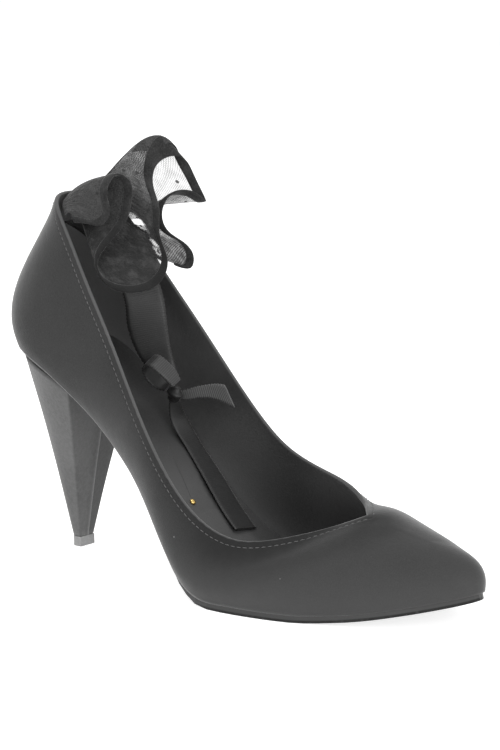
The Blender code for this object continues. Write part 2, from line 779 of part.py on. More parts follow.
def knot_solid():
    """Rounded body of the knot."""
    rings = []
    for i in range(KNOT_RINGS):
        rise = math.pi * (i + 1) / (KNOT_RINGS + 1)
        turn = np.linspace(0.0, 2.0 * math.pi, KNOT_TURNS, endpoint=False)
        level_x = np.sin(rise) * np.cos(turn)
        level_y = np.sin(rise) * np.sin(turn)
        ring = np.column_stack([level_x, level_y, np.full(KNOT_TURNS, -math.cos(rise))])
        rings.append(np.array(KNOT_CENTRE) + ring * np.array(KNOT_RADII))
    return capped_loft(rings)


def stud_solid():
    """Low round stud standing on the insole."""
    up = sole_normal(STUD_X)
    ahead = np.array([up[2], 0.0, -up[0]])
    seat = np.array([STUD_X, STUD_Y, float(insole_top(STUD_X))]) + GAP * up
    turn = np.linspace(0.0, 2.0 * math.pi, KNOT_TURNS, endpoint=False)
    rings = []
    for wide, high in STUD_PROFILE:
        flat = np.outer(np.cos(turn), ahead) + np.outer(np.sin(turn), np.array([0.0, 1.0, 0.0]))
        rings.append(seat + STUD_RADIUS * wide * flat + STUD_HEIGHT * high * up)
    return capped_loft(rings)


satin = material("upper_satin", (0.075, 0.075, 0.077), 0.62)
sole_black = material("sole_black", (0.012, 0.012, 0.012), 0.55)
insole_grey = material("insole_grey", (0.09, 0.09, 0.09), 0.6)
heel_cover = material("heel_cover", (0.12, 0.12, 0.122), 0.7)
mesh_grey = material("mesh_grey", (0.1, 0.1, 0.1), 0.8)
velvet = material("velvet", (0.06, 0.06, 0.06), 0.8)
grosgrain = material("grosgrain", (0.07, 0.07, 0.07), 0.5)
brass = material("brass", (0.55, 0.4, 0.18), 0.35, 1.0)
tip_grey = material("tip_grey", (0.3, 0.3, 0.3), 0.5)

solid("upper", *shell(*upper_skin(), WALL), satin)
solid("outsole", *sole_sheet((sole_margin, sole_margin), outsole_depth, sole_thickness), sole_black)
solid("insole", *sole_sheet((insole_low, insole_high), insole_depth, insole_thickness), insole_grey)
solid("heel", *heel_solid(), heel_cover)
solid("top_piece", *top_piece_solid(), tip_grey, smooth=False)
solid("ruffle", *slab(ruffle_grid(False, RUFFLE_ACROSS + 1), RUFFLE_THICK), mesh_grey)
solid("ruffle_hem", *slab(ruffle_grid(True, RUFFLE_HEM_ACROSS + 1), RUFFLE_HEM_THICK), velvet)
solid("ribbon_strap", *slab(ribbon(RIBBON_STRAP), RIBBON_THICK), grosgrain)
solid("ribbon_loop", *slab(ribbon(RIBBON_LOOP), RIBBON_THICK), grosgrain)
solid("ribbon_short_end", *slab(ribbon(RIBBON_SHORT_END, square=False), RIBBON_THICK), grosgrain)
solid("ribbon_tail", *slab(ribbon(RIBBON_TAIL, True), RIBBON_THICK), grosgrain)
solid("ribbon_knot", *knot_solid(), grosgrain)
solid("stud", *stud_solid(), brass)

corners = np.vstack([[v.co for v in item.data.vertices] for item in bpy.data.objects])
ORIGIN = 0.5 * (corners.min(axis=0) + corners.max(axis=0)) / MM
ORIGIN[2] = corners[:, 2].min() / MM
for item in bpy.data.objects:
    item.location = -ORIGIN * MM
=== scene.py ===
"""Looks of the pump: finer skins in the place of the solids, with suede, velvet, sheer net and grosgrain."""
import math
import bpy
import numpy as np
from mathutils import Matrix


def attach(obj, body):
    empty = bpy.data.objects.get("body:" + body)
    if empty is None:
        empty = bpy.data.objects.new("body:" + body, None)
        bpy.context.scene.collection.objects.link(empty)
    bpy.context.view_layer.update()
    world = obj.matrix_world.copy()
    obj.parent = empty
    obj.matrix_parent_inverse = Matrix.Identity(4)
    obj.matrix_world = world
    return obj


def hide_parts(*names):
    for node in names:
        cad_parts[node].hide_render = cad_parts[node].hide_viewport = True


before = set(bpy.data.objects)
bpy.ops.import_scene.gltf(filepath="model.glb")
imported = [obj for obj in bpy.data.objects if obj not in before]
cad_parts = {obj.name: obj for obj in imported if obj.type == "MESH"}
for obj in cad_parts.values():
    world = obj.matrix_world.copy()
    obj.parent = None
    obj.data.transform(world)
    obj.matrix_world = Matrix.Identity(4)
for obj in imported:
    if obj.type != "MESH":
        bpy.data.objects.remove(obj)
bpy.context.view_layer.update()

MM = 0.001
ORIGIN = np.array([110.643123, -0.912670, 0.0])
UP = np.array([0.0, 0.0, 1.0])
OUTER_SIDE = -1.0
INNER_SIDE = 1.0

# Sizes and tables of the shoe in millimetres, as in the solids
WALL = 1.7
TURN = 6.5
TOE_TURN = 3.4
GAP = 0.3
WAIST_SOLE = 2.0
INSOLE_THICK = 1.5
TOP_PIECE_HEIGHT = 4.2
TIP_BREAST_X = 27.0
TIP_HALF_WIDTH = 4.2
TIP_DEPTH = 6.4
TOE_POLE = (203.5, 4.6, 29.8)
THROAT = (177.5, 0.0, 36.6)
COLLAR_BACK = (20.2, 0.0, 150.3)
BOTTOM_EDGE = [
    (225.8, 6.8, 6.8), (223.2, 0.2, 13.2), (215.8, -7.2, 19.0), (203.0, -16.8, 25.2),
    (185.0, -26.6, 32.0), (165.0, -34.6, 37.2), (145.0, -39.2, 37.8), (125.0, -39.8, 32.5),
    (100.0, -31.0, 24.0), (75.0, -23.4, 20.2), (50.0, -23.8, 22.2), (25.0, -25.0, 25.0),
    (10.6, -21.2, 21.2), (2.2, -12.2, 12.2), (-1.0, 0.0, 0.0),
]
LIFT = [
    (-20.0, 95.0), (0.0, 89.8), (25.0, 81.2), (50.0, 65.8), (75.0, 43.2), (100.0, 17.4), (116.0, 6.6),
    (130.0, 2.9), (164.0, 2.9), (185.0, 4.6), (205.0, 8.2), (227.5, 13.6), (240.0, 17.0),
]
COLLAR = [
    (171.0, -8.0, 33.6, 8.0, 37.0), (163.0, -17.5, 30.8, 17.0, 37.0), (152.0, -26.5, 28.0, 25.0, 38.6),
    (140.0, -32.0, 27.0, 30.2, 40.3), (127.0, -34.0, 30.4, 32.0, 42.9), (112.0, -33.6, 39.7, 31.8, 48.9),
    (97.0, -32.0, 55.3, 30.5, 61.9), (82.0, -29.6, 76.2, 28.5, 79.8), (68.0, -27.0, 97.2, 26.6, 97.2),
    (53.0, -24.0, 117.6, 24.0, 115.9), (40.0, -20.9, 135.4, 20.9, 133.6), (29.5, -16.4, 146.0, 16.4, 145.4),
    (22.8, -9.2, 149.4, 9.2, 149.2),
]
OUTER_WALL = [
    (0.00, 8.0, 0.42, 0.0, 0.50), (0.14, 18.0, 0.46, 9.0, 0.42), (0.25, 24.0, 0.48, 16.0, 0.34),
    (0.30, 26.0, 0.48, 28.0, 0.35), (0.36, 27.0, 0.46, 46.0, 0.37), (0.43, 28.0, 0.44, 66.0, 0.38),
    (0.60, 30.0, 0.38, 76.0, 0.36), (0.75, 28.0, 0.34, 78.0, 0.36), (0.88, 26.0, 0.34, 74.0, 0.36),
    (1.00, 32.0, 0.38, 62.0, 0.38),
]
INNER_WALL = [
    (0.00, 8.0, 0.42, 0.0, 0.50), (0.14, 18.0, 0.46, -7.0, 0.46), (0.25, 22.0, 0.48, -12.0, 0.42),
    (0.30, 24.0, 0.48, 10.0, 0.40), (0.36, 26.0, 0.46, 46.0, 0.40), (0.43, 28.0, 0.44, 78.0, 0.38),
    (0.60, 30.0, 0.38, 88.0, 0.36), (0.75, 28.0, 0.34, 88.0, 0.36), (0.88, 26.0, 0.34, 80.0, 0.36),
    (1.00, 32.0, 0.38, 62.0, 0.38),
]
FAN_STEPS = 8
RIDGE_STEPS = 7
COLLAR_STEPS = 28
ACROSS_STEPS = 11
EASE_PASSES = 6
EASE_IN = 0.5
EASE_OUT = 0.51
FAN_END_X = 200.0
THROAT_SIDE_X = 168.0
THROAT_HOLD = 0.15
THROAT_BLEND = 0.25
TURN_X = (200.0, 150.0)
HEEL_SECTIONS = [
    (0.00, 37.6, 20.2, 24.0, 22.4, 1.2),
    (0.33, 34.2, 14.6, 23.6, 15.4, 8.8),
    (0.66, 30.6, 9.2, 23.6, 9.5, 15.2),
    (1.00, TIP_BREAST_X, TIP_HALF_WIDTH - 0.1, 24.4, TIP_HALF_WIDTH, TIP_BREAST_X - TIP_DEPTH),
]
RUFFLE_FOLDS = [
    (0, 39.4, -15.2, 139.8, 3.0, 6.0, 0.30), (0.04, 45.2, -14.2, 139.7, 3.6, 6.0, 0.30),
    (0.08, 50.9, -12.0, 139.4, 4.0, 6.0, 0.30), (0.11, 53.9, -9.7, 143.9, 4.0, 6.0, 0.30),
    (0.14, 51.5, -8.7, 150.9, 4.0, 6.0, 0.30), (0.16, 50.5, -6.4, 155.5, 4.0, 6.5, 0.30),
    (0.18, 50.6, -0.6, 159.1, 4.0, 7.0, 0.30), (0.21, 52.9, 3.3, 156.1, 4.0, 7.0, 0.30),
    (0.235, 54.7, 2.4, 148.9, 4.0, 5.5, 0.30), (0.26, 56.0, -2.7, 140.1, 4.0, 4.0, 0.30),
    (0.285, 55.2, -11.3, 132.8, 4.0, 2.0, 0.30), (0.31, 54.4, -18.3, 123.8, 4.0, 1.0, 0.30),
    (0.33, 60.0, -17.9, 116.1, 4.2, 1.0, 0.30), (0.36, 68.2, -11.5, 113.3, 4.4, 1.0, 0.30),
    (0.38, 72.1, -2.2, 115.7, 4.2, 2.0, 0.30), (0.4, 70.3, 6.4, 124.0, 4.0, 5.0, 0.30),
    (0.41, 62.5, 10.3, 134.4, 4.0, 9.0, 0.30), (0.42, 57.6, 15.3, 144.7, 4.0, 11.0, 0.35),
    (0.43, 50.4, 19.5, 154.2, 4.2, 12.0, 0.45), (0.44, 48.8, 23.8, 160.8, 5.5, 17.0, 0.75),
    (0.455, 49.9, 28.1, 163.4, 10.0, 26.0, 0.86), (0.47, 51.6, 33.1, 163.9, 11.5, 28.0, 0.90),
    (0.485, 52.9, 37.1, 162.0, 8.0, 19.0, 0.80), (0.505, 54.6, 38.9, 157.8, 4.4, 9.0, 0.50),
    (0.53, 58.6, 39.3, 150.9, 4.0, 4.0, 0.50), (0.56, 63.2, 37.9, 145.5, 4.0, -2.0, 0.40),
    (0.58, 63.0, 33.2, 148.8, 4.0, -6.0, 0.60), (0.6, 60.7, 29.0, 150.7, 4.0, -7.0, 0.60),
    (0.63, 58.1, 24.5, 150.1, 4.0, -4.0, 0.40), (0.66, 55.5, 21.1, 145.7, 4.0, 0.0, 0.30),
    (0.7, 54.7, 20.6, 138.2, 4.0, 1.0, 0.30), (0.75, 57.1, 22.7, 132.8, 4.0, 2.0, 0.30),
    (0.8, 61.9, 26.5, 128.6, 4.0, 3.0, 0.30), (0.87, 65.5, 27.4, 122.5, 4.0, 4.0, 0.40),
    (0.93, 64.9, 26.1, 118.9, 3.4, 2.0, 0.40), (1, 61.4, 23.2, 119.7, 3.0, 1.0, 0.40),
]
GATHER_NEAR = 0.89
GATHER_FAR = 0.78
GATHER_IN = 3.2
GATHER_DOWN = 1.6
RIBBON_THICK = 0.7
RIBBON_CLEAR = 1.2
RIBBON_STRAP = [
    (23.5, 1.0, 138.5, 7.0, 90.0, 0.0),
    (35.0, 1.6, 134.0, 7.2, 85.0, 0.0),
    (47.0, 2.4, 125.5, 7.4, 72.0, 0.0),
    (56.1, 3.5, 115.3, 7.6, 55.0, 0.0),
    (59.4, 4.0, 106.0, 7.8, 44.0, -4.0),
    (59.8, 4.5, 98.6, 8.0, 41.0, -6.0),
    (60.4, 6.1, 90.9, 7.4, 41.0, -6.0),
    (61.8, 8.0, 84.1, 6.2, 41.0, -6.0),
    (64.7, 9.6, 78.0, 4.8, 41.0, -5.0),
    (68.8, 9.2, 73.1, 3.0, 41.0, -5.0),
]
RIBBON_LOOP = [
    (71.2, 4.7, 72.6, 2.2, 90.0, 29.0),
    (68.3, 4.4, 73.2, 2.8, 90.0, 29.0),
    (65.1, 2.9, 75.9, 3.2, 90.0, 29.0),
    (63.7, 0.7, 79.9, 3.3, 90.0, 29.0),
    (65.4, -1.2, 83.4, 3.4, 90.0, 29.0),
    (69.4, -1.7, 84.4, 3.4, 90.0, 29.0),
    (73.5, -0.1, 81.4, 3.3, 90.0, 29.0),
    (76.0, 1.8, 78.0, 3.0, 90.0, 29.0),
    (76.8, 3.3, 75.1, 2.4, 90.0, 29.0),
]
RIBBON_SHORT_END = [
    (76.4, 8.8, 69.4, 2.0, 221.0, 74.0),
    (79.6, 11.4, 70.3, 2.2, 221.0, 76.0),
    (83.8, 14.7, 70.9, 2.6, 221.0, 76.0),
    (88.1, 17.2, 70.4, 3.8, 221.0, 72.0),
    (91.8, 19.1, 69.1, 5.1, 221.0, 66.0),
]
RIBBON_TAIL = [
    (72.0, 7.6, 14.4, 2.4, 55.0, 0.0),
    (71.4, 9.2, 9.0, 3.2, 70.0, 0.0),
    (72.6, 11.6, 4.4, 4.0, 80.0, 0.0),
    (77.4, 12.9, 1.6, 4.4, 88.0, 0.0),
    (84.9, 12.7, 1.5, 5.2, 92.0, 0.0),
    (91.5, 12.0, 2.2, 5.7, 93.0, 0.0),
    (97.6, 11.8, 1.5, 5.9, 94.0, 0.0),
    (107.0, 10.7, 1.5, 6.1, 97.0, 0.0),
]
KNOT_CENTRE = (72.8, 6.6, 69.8)
KNOT_RADII = (3.4, 3.0, 3.6)
STUD_X = 92.4
STUD_Y = -5.1
STUD_RADIUS = 1.3
STUD_HEIGHT = 0.7
# Distance of the stitches and their groove from the top edge
STITCH_IN = 2.6

# Finer steps of the skins
WALL_FINER = 4
ROUND_FINER = 4
RUFFLE_STEPS = 620
RUFFLE_ACROSS = 26
SHEET_STEPS = 61
FREE_EDGE_POINTS = 2400
RIBBON_POINTS = 1600
RIBBON_PITCH = 0.4
RIBBON_ACROSS = 13
RIBBON_EDGE_THIN = 0.35
# Widths of the running averages along the strips, in steps
FOLD_SOFT = 7.0
COVER_SOFT = 6.0
BEND_SOFT = 3.0


def level(rows, x):
    """Smooth height through rows of (x, z) that never overshoots a row."""
    xs, zs = np.array(sorted(rows)).T
    step = np.diff(xs)
    rate = np.diff(zs) / step
    slope = np.zeros(len(xs))
    slope[0] = rate[0]
    slope[-1] = rate[-1]
    for i in range(1, len(xs) - 1):
        if rate[i - 1] * rate[i] > 0.0:
            before = 2.0 * step[i] + step[i - 1]
            after = step[i] + 2.0 * step[i - 1]
            slope[i] = (before + after) / (before / rate[i - 1] + after / rate[i])
    x = np.clip(np.asarray(x, float), xs[0], xs[-1])
    i = np.clip(np.searchsorted(xs, x) - 1, 0, len(step) - 1)
    u = (x - xs[i]) / step[i]
    return (
        zs[i] * (1.0 + 2.0 * u) * (1.0 - u) ** 2 + slope[i] * step[i] * u * (1.0 - u) ** 2
        + zs[i + 1] * u * u * (3.0 - 2.0 * u) + slope[i + 1] * step[i] * u * u * (u - 1.0)
    )


def lift(x):
    return level(LIFT, x)


def slope_at(x):
    return lift(x + 0.5) - lift(x - 0.5)


def layer_height(x, above):
    """Height of a layer that lies so far above the lasted bottom, square to it."""
    return lift(x) + above * np.hypot(slope_at(x), 1.0)


def insole_top(x):
    return layer_height(x, WALL + GAP + INSOLE_THICK)


def trace(points, start=None, end=None, count=500):
    """Dense line along a cubic spline through the points; start and end are directions."""
    points = np.array(points, float)
    span = np.linalg.norm(np.diff(points, axis=0), axis=1)
    knots = np.concatenate([[0.0], np.cumsum(span)])
    size = len(points)
    left = np.zeros((size, size))
    right = np.zeros((size, points.shape[1]))
    for i in range(1, size - 1):
        left[i, i - 1] = span[i - 1]
        left[i, i] = 2.0 * (span[i - 1] + span[i])
        left[i, i + 1] = span[i]
        right[i] = 6.0 * ((points[i + 1] - points[i]) / span[i] - (points[i] - points[i - 1]) / span[i - 1])
    left[0, 0] = 2.0
    left[-1, -1] = 2.0
    if start is not None:
        left[0, 1] = 1.0
        right[0] = 6.0 / span[0] * ((points[1] - points[0]) / span[0] - np.array(start))
    if end is not None:
        left[-1, -2] = 1.0
        right[-1] = 6.0 / span[-1] * (np.array(end) - (points[-1] - points[-2]) / span[-1])
    bend = np.linalg.solve(left, right)
    t = np.linspace(0.0, knots[-1], count)
    i = np.clip(np.searchsorted(knots, t) - 1, 0, size - 2)
    h = span[i][:, None]
    a = (knots[i + 1] - t)[:, None] / h
    b = 1.0 - a
    curve = a * points[i] + b * points[i + 1]
    return curve + ((a ** 3 - a) * bend[i] + (b ** 3 - b) * bend[i + 1]) * h * h / 6.0


def shares(line):
    run = np.concatenate([[0.0], np.cumsum(np.linalg.norm(np.diff(line, axis=0), axis=1))])
    return run / run[-1]


def line_length(line):
    return float(np.linalg.norm(np.diff(line, axis=0), axis=1).sum())


def along(line, share):
    """Points at shares of the length of a dense line."""
    run = shares(line)
    return np.stack([np.interp(share, run, line[:, k]) for k in range(line.shape[1])], axis=-1)


def unit(vector):
    vector = np.asarray(vector, float)
    return vector / np.maximum(np.linalg.norm(vector, axis=-1, keepdims=True), 1e-12)


def bottom_edge(side):
    column = 1 if side == OUTER_SIDE else 2
    plan = trace([(row[0], row[column]) for row in BOTTOM_EDGE], (0.0, side), (0.0, -side))
    return np.column_stack([plan, lift(plan[:, 0])])


def collar_edge(side):
    first = 1 if side == OUTER_SIDE else 3
    rows = [(row[0], row[first], row[first + 1]) for row in COLLAR]
    return trace([THROAT] + rows + [COLLAR_BACK], None, (0.0, -side, 0.0))


def ridge_line():
    return trace([TOE_POLE, THROAT])


def outward(line, side):
    """Level direction square to a line that runs from toe to heel, pointing out of the shoe."""
    run = np.gradient(line[:, :2], axis=0)
    return unit(np.column_stack([-side * run[:, 1], side * run[:, 0], np.zeros(len(run))])) * -1.0


def share_at_x(line, x):
    first = int(np.argmax(line[:, 0] < x))
    return shares(line)[first]


def wall_sections(side):
    """One curved section per step from the toe tip to the back centre, bottom edge to top edge."""
    edge = bottom_edge(side)
    away = outward(edge, side)
    fan_end = share_at_x(edge, FAN_END_X)
    throat_end = share_at_x(edge, THROAT_SIDE_X)
    pole = np.array(TOE_POLE)
    forward = unit(pole - np.array(THROAT))
    across = np.array([0.0, side, 0.0])
    ridge = ridge_line()
    collar = collar_edge(side)
    collar_away = outward(collar, side)
    stops = []
    for k in range(FAN_STEPS):
        turn = math.pi / 2.0 * k / FAN_STEPS
        stops.append((fan_end * k / FAN_STEPS, pole, math.cos(turn) * forward + math.sin(turn) * across))
    for k in range(RIDGE_STEPS):
        part = k / RIDGE_STEPS
        stops.append((fan_end + (throat_end - fan_end) * part, along(ridge, part), across))
    for k in range(COLLAR_STEPS + 1):
        part = k / COLLAR_STEPS
        blend = min(1.0, max(0.0, part - THROAT_HOLD) / THROAT_BLEND)
        top_away = unit((1.0 - blend) * across + blend * along(collar_away, part))
        stops.append((throat_end + (1.0 - throat_end) * part, along(collar, part), top_away))
    table = np.array(OUTER_WALL if side == OUTER_SIDE else INNER_WALL)
    t = np.linspace(0.0, 1.0, ACROSS_STEPS)[:, None]
    sections = []
    for share, top, top_away in stops:
        flare, pull, fall, top_pull = [float(np.interp(share, table[:, 0], column)) for column in table.T[1:]]
        foot = along(edge, share)
        foot_away = unit(along(away, share))
        reach = np.linalg.norm(top - foot)
        flare = math.radians(flare)
        fall = math.radians(fall)
        low = foot + pull * reach * (math.cos(flare) * UP + math.sin(flare) * foot_away)
        high = top + top_pull * reach * (math.cos(fall) * top_away - math.sin(fall) * UP)
        wall = (
            (1.0 - t) ** 3 * foot + 3.0 * t * (1.0 - t) ** 2 * low
            + 3.0 * t * t * (1.0 - t) * high + t ** 3 * top
        )
        turned = foot - foot_away * np.interp(foot[0], TURN_X[::-1], (TURN, TOE_TURN))
        turned[2] = lift(turned[0])
        sections.append(np.vstack([turned, wall]))
    return np.array(sections)


def eased_ring():
    """Sections all round the shoe from the toe tip, outer side first, with small kinks taken out."""
    outer = wall_sections(OUTER_SIDE)
    inner = wall_sections(INNER_SIDE)
    ring = np.concatenate([outer, inner[-2:0:-1]])
    for _ in range(EASE_PASSES):
        for pull in (EASE_IN, -EASE_OUT):
            bend = 0.5 * (np.roll(ring, 1, axis=0) + np.roll(ring, -1, axis=0)) - ring
            ring[:, 2:-1] += pull * bend[:, 2:-1]
    return ring


def finer(rows, times, closed=False):
    """Cubic spline through rows of points, with so many steps between two rows."""
    count = len(rows)
    flat = rows.reshape(count, -1)
    left = np.eye(count)
    right = np.zeros_like(flat)
    for i in range(count):
        if closed or 0 < i < count - 1:
            left[i, i] = 4.0
            left[i, (i - 1) % count] = 1.0
            left[i, (i + 1) % count] = 1.0
            right[i] = 6.0 * (flat[(i - 1) % count] - 2.0 * flat[i] + flat[(i + 1) % count])
    bend = np.linalg.solve(left, right)
    last = count if closed else count - 1
    t = np.arange(last * times + (0 if closed else 1)) / times
    i = np.minimum(t.astype(int), last - 1)
    b = (t - i)[:, None]
    a = 1.0 - b
    j = (i + 1) % count
    made = a * flat[i] + b * flat[j] + ((a ** 3 - a) * bend[i] + (b ** 3 - b) * bend[j]) / 6.0
    return made.reshape((-1,) + rows.shape[1:])


def through(points, count):
    """Dense line through points, and the share of its length at each of them."""
    line = trace(points, count=count)
    run = shares(line)
    return line, [run[np.argmin(np.linalg.norm(line - point, axis=1))] for point in points]


def softened(values, width):
    """Running average with a bell weight, ends held."""
    reach = int(3 * width)
    weight = np.exp(-0.5 * (np.arange(-reach, reach + 1) / width) ** 2)
    padded = np.concatenate([np.full(reach, values[0]), values, np.full(reach, values[-1])])
    return np.convolve(padded, weight / weight.sum(), mode="valid")


def soft_columns(step, run, columns, width):
    """Columns of a table at steps along the line through its rows, softened."""
    return [softened(np.interp(step, run, column), width) for column in columns.T]


def capped_loft(rings):
    """Points and faces of a closed form through rings of equal size."""
    count = len(rings[0])
    points = np.vstack(rings)
    faces = []
    for i in range(len(rings) - 1):
        for j in range(count):
            k = (j + 1) % count
            faces.append([i * count + j, i * count + k, (i + 1) * count + k, (i + 1) * count + j])
    faces.append(list(range(count))[::-1])
    faces.append([(len(rings) - 1) * count + j for j in range(count)])
    return points, faces


def piece(name, points, faces, finishes, face_finish=None, marks=None):
    """Mesh object from points in shoe millimetres; marks are named numbers carried by its points."""
    mesh = bpy.data.meshes.new(name)
    placed = ((np.asarray(points) - ORIGIN) * MM).tolist()
    mesh.from_pydata(placed, [], [tuple(int(v) for v in face) for face in faces])
    for finish in finishes:
        mesh.materials.append(finish)
    if face_finish is not None:
        mesh.polygons.foreach_set("material_index", np.asarray(face_finish, dtype=np.int32))
    mesh.polygons.foreach_set("use_smooth", [True] * len(mesh.polygons))
    for mark, values in (marks or {}).items():
        layer = mesh.attributes.new(mark, "FLOAT", "POINT")
        layer.data.foreach_set("value", np.asarray(values, dtype=np.float32))
    mesh.update()
    made = bpy.data.objects.new(name, mesh)
    bpy.context.scene.collection.objects.link(made)
    return made


def on_root(made, slot, *nodes):
    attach(made, "root")
    if nodes:
        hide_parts(*nodes)


# Materials


class Finish:
    """Material under way: its colour so far, and short names for the nodes that it needs."""

    def __init__(self, name):
        self.made = bpy.data.materials.new(name)
        self.made.use_nodes = True
        self.tree = self.made.node_tree
        self.shader = self.tree.nodes["Principled BSDF"]
        self.base = grey(1.0)

    def fill(self, node, sockets):
        """Fills sockets with numbers, or with other nodes' outputs."""
        for key, value in sockets.items():
            if isinstance(value, bpy.types.NodeSocket):
                self.tree.links.new(value, node.inputs[key])
            else:
                node.inputs[key].default_value = value

    def put(self, kind, sockets=None, **settings):
        made = self.tree.nodes.new(kind)
        for key, value in settings.items():
            setattr(made, key, value)
        self.fill(made, sockets or {})
        return made

    def done(self, **sockets):
        """Fills the shader's sockets, with _ for each space in their names, and its colour."""
        self.fill(self.shader, {key.replace("_", " "): value for key, value in sockets.items()})
        self.fill(self.shader, {"Base Color": self.base})
        return self.made

    def maths(self, operation, a, b=0.5, clamp=False):
        return self.put("ShaderNodeMath", {0: a, 1: b}, operation=operation, use_clamp=clamp).outputs[0]

    def times(self, a, b, clamp=False):
        return self.maths("MULTIPLY", a, b, clamp)

    def ramp(self, value, low, high, to_low=0.0, to_high=1.0):
        """Number mapped from one range to another, held at the ends, eased."""
        sockets = {0: value, 1: low, 2: high, 3: to_low, 4: to_high}
        return self.put("ShaderNodeMapRange", sockets, interpolation_type="SMOOTHSTEP").outputs[0]

    def place(self):
        """Place on the object in metres."""
        return self.put("ShaderNodeTexCoord").outputs["Object"]

    def split(self, vector):
        return tuple(self.put("ShaderNodeSeparateXYZ", {0: vector}).outputs)

    def noise(self, scale, detail=3.0, rough=0.55, place=None):
        sockets = {"Vector": place or self.place(), "Scale": scale, "Detail": detail, "Roughness": rough}
        return self.put("ShaderNodeTexNoise", sockets).outputs[0]

    def mark(self, name):
        return self.put("ShaderNodeAttribute", attribute_name=name).outputs["Fac"]

    def strip_place(self):
        """Run along a strip, place across it, both in millimetres, and the two as one place."""
        run, side = self.mark("along_mm"), self.mark("across_mm")
        return run, side, self.put("ShaderNodeCombineXYZ", {0: run, 1: side}).outputs[0]

    def blend(self, share, a, b):
        """Mix of two colours."""
        return self.put("ShaderNodeMix", {0: share, 6: a, 7: b}, data_type="RGBA").outputs[2]

    def mottle(self, value, low, high, dark, light):
        """Starts the colour: from dark to light grey as a number goes from low to high."""
        self.base = self.blend(self.ramp(value, low, high), grey(dark), grey(light))

    def tint(self, share, value, weight=1.0):
        """Takes the colour towards a grey."""
        if weight != 1.0:
            share = self.times(share, weight)
        self.base = self.blend(share, self.base, grey(value))

    def bump(self, height, strength, distance, under=None):
        sockets = {"Height": height, "Strength": strength, "Distance": distance}
        if under is not None:
            sockets["Normal"] = under
        return self.put("ShaderNodeBump", sockets).outputs[0]

    def specks(self, scale, share, size):
        """1 on a few small dots of lint, 0 elsewhere."""
        cells = self.put("ShaderNodeTexVoronoi", {"Vector": self.place(), "Scale": scale})
        pick = self.put("ShaderNodeSeparateColor", {0: cells.outputs["Color"]}).outputs[0]
        near = self.ramp(cells.outputs["Distance"], size, size * 0.5)
        return self.times(near, self.maths("LESS_THAN", pick, share))


def grey(value):
    return (value, value, value, 1.0)


def suede_finish():
    f = Finish("suede_black")
    cloudy = f.noise(190.0, 4.0)
    nap = f.noise(2600.0, 2.0, 0.6)
    tone = f.maths("ADD", f.times(f.noise(28.0, 2.0), 0.5), f.times(cloudy, 0.5))
    f.mottle(tone, 0.36, 0.64, 0.010, 0.019)
    f.tint(f.ramp(nap, 0.35, 0.7), 0.034, 0.5)
    x, _, z = f.split(f.place())
    # Painted light from the floor: lighter towards the bottom, more so towards the toe
    painted_floor_bounce = f.times(f.ramp(z, 0.040, 0.004), f.ramp(x, -0.030, 0.040))
    f.tint(painted_floor_bounce, 0.055, 0.55)
    edge = f.mark("edge_mm")
    # Painted shade: darker within about 22 mm of the top edge, towards the front
    painted_shade_near_top = f.times(f.ramp(edge, 22.0, 5.0), f.ramp(x, -0.010, 0.025))
    f.tint(painted_shade_near_top, 0.003, 0.7)
    # Painted highlight: a thin light line along the fold of the rolled top edge
    fold = f.times(f.ramp(edge, 0.4, 0.1), f.ramp(edge, -0.8, -0.3))
    f.tint(fold, 0.11, 0.45)
    f.tint(f.specks(150.0, 0.2, 0.065), 0.20, 0.8)
    groove = f.ramp(f.maths("ABSOLUTE", f.maths("SUBTRACT", edge, STITCH_IN)), 0.0, 0.7)
    normal = f.bump(cloudy, 0.12, 0.0006, f.bump(groove, 0.14, 0.0005))
    return f.done(
        Roughness=f.ramp(cloudy, 0.3, 0.7, 0.66, 0.82), Specular_IOR_Level=0.2,
        Sheen_Weight=0.38, Sheen_Roughness=0.36, Normal=f.bump(nap, 0.35, 0.0002, normal),
    )


def lining_finish():
    f = Finish("lining_black")
    grain = f.noise(1500.0, 3.0, 0.6)
    f.mottle(f.noise(40.0, 2.0), 0.3, 0.7, 0.020, 0.028)
    f.tint(f.ramp(grain, 0.4, 0.7), 0.044, 0.3)
    x, _, z = f.split(f.place())
    # Painted shade: darker low in the middle of the lining
    middle = f.times(f.ramp(x, -0.035, -0.005), f.ramp(x, 0.020, 0.004))
    f.tint(f.times(middle, f.ramp(z, 0.060, 0.020)), 0.009, 0.8)
    # Painted light: lighter far back inside, away from the top edge
    painted_light_back = f.times(f.ramp(x, -0.038, -0.085), f.ramp(f.mark("edge_mm"), 3.0, 14.0))
    f.tint(painted_light_back, 0.15)
    # Painted light: lighter towards the toe
    f.tint(f.ramp(x, 0.010, 0.055), 0.10)
    return f.done(
        Roughness=f.ramp(grain, 0.3, 0.7, 0.52, 0.68),
        Sheen_Weight=0.08, Sheen_Roughness=0.5, Normal=f.bump(grain, 0.3, 0.0002),
    )


def heel_finish():
    f = Finish("heel_suede")
    coarse = f.noise(620.0, 4.0, 0.65)
    nap = f.noise(2200.0, 2.0, 0.6)
    f.mottle(f.noise(45.0, 2.0), 0.3, 0.7, 0.072, 0.090)
    f.tint(f.ramp(coarse, 0.35, 0.7), 0.116, 0.5)
    f.tint(f.ramp(nap, 0.5, 0.2), 0.060, 0.35)
    # Painted shade on the far flap of the cover
    f.tint(f.mark("far_flap"), 0.045, 0.6)
    # Painted highlight on the raised lip of the near flap
    f.tint(f.mark("lip"), 0.20, 0.3)
    return f.done(
        Roughness=0.85, Specular_IOR_Level=0.25, Sheen_Weight=0.25, Sheen_Roughness=0.5,
        Normal=f.bump(nap, 0.4, 0.0002, f.bump(coarse, 0.4, 0.0005)),
    )


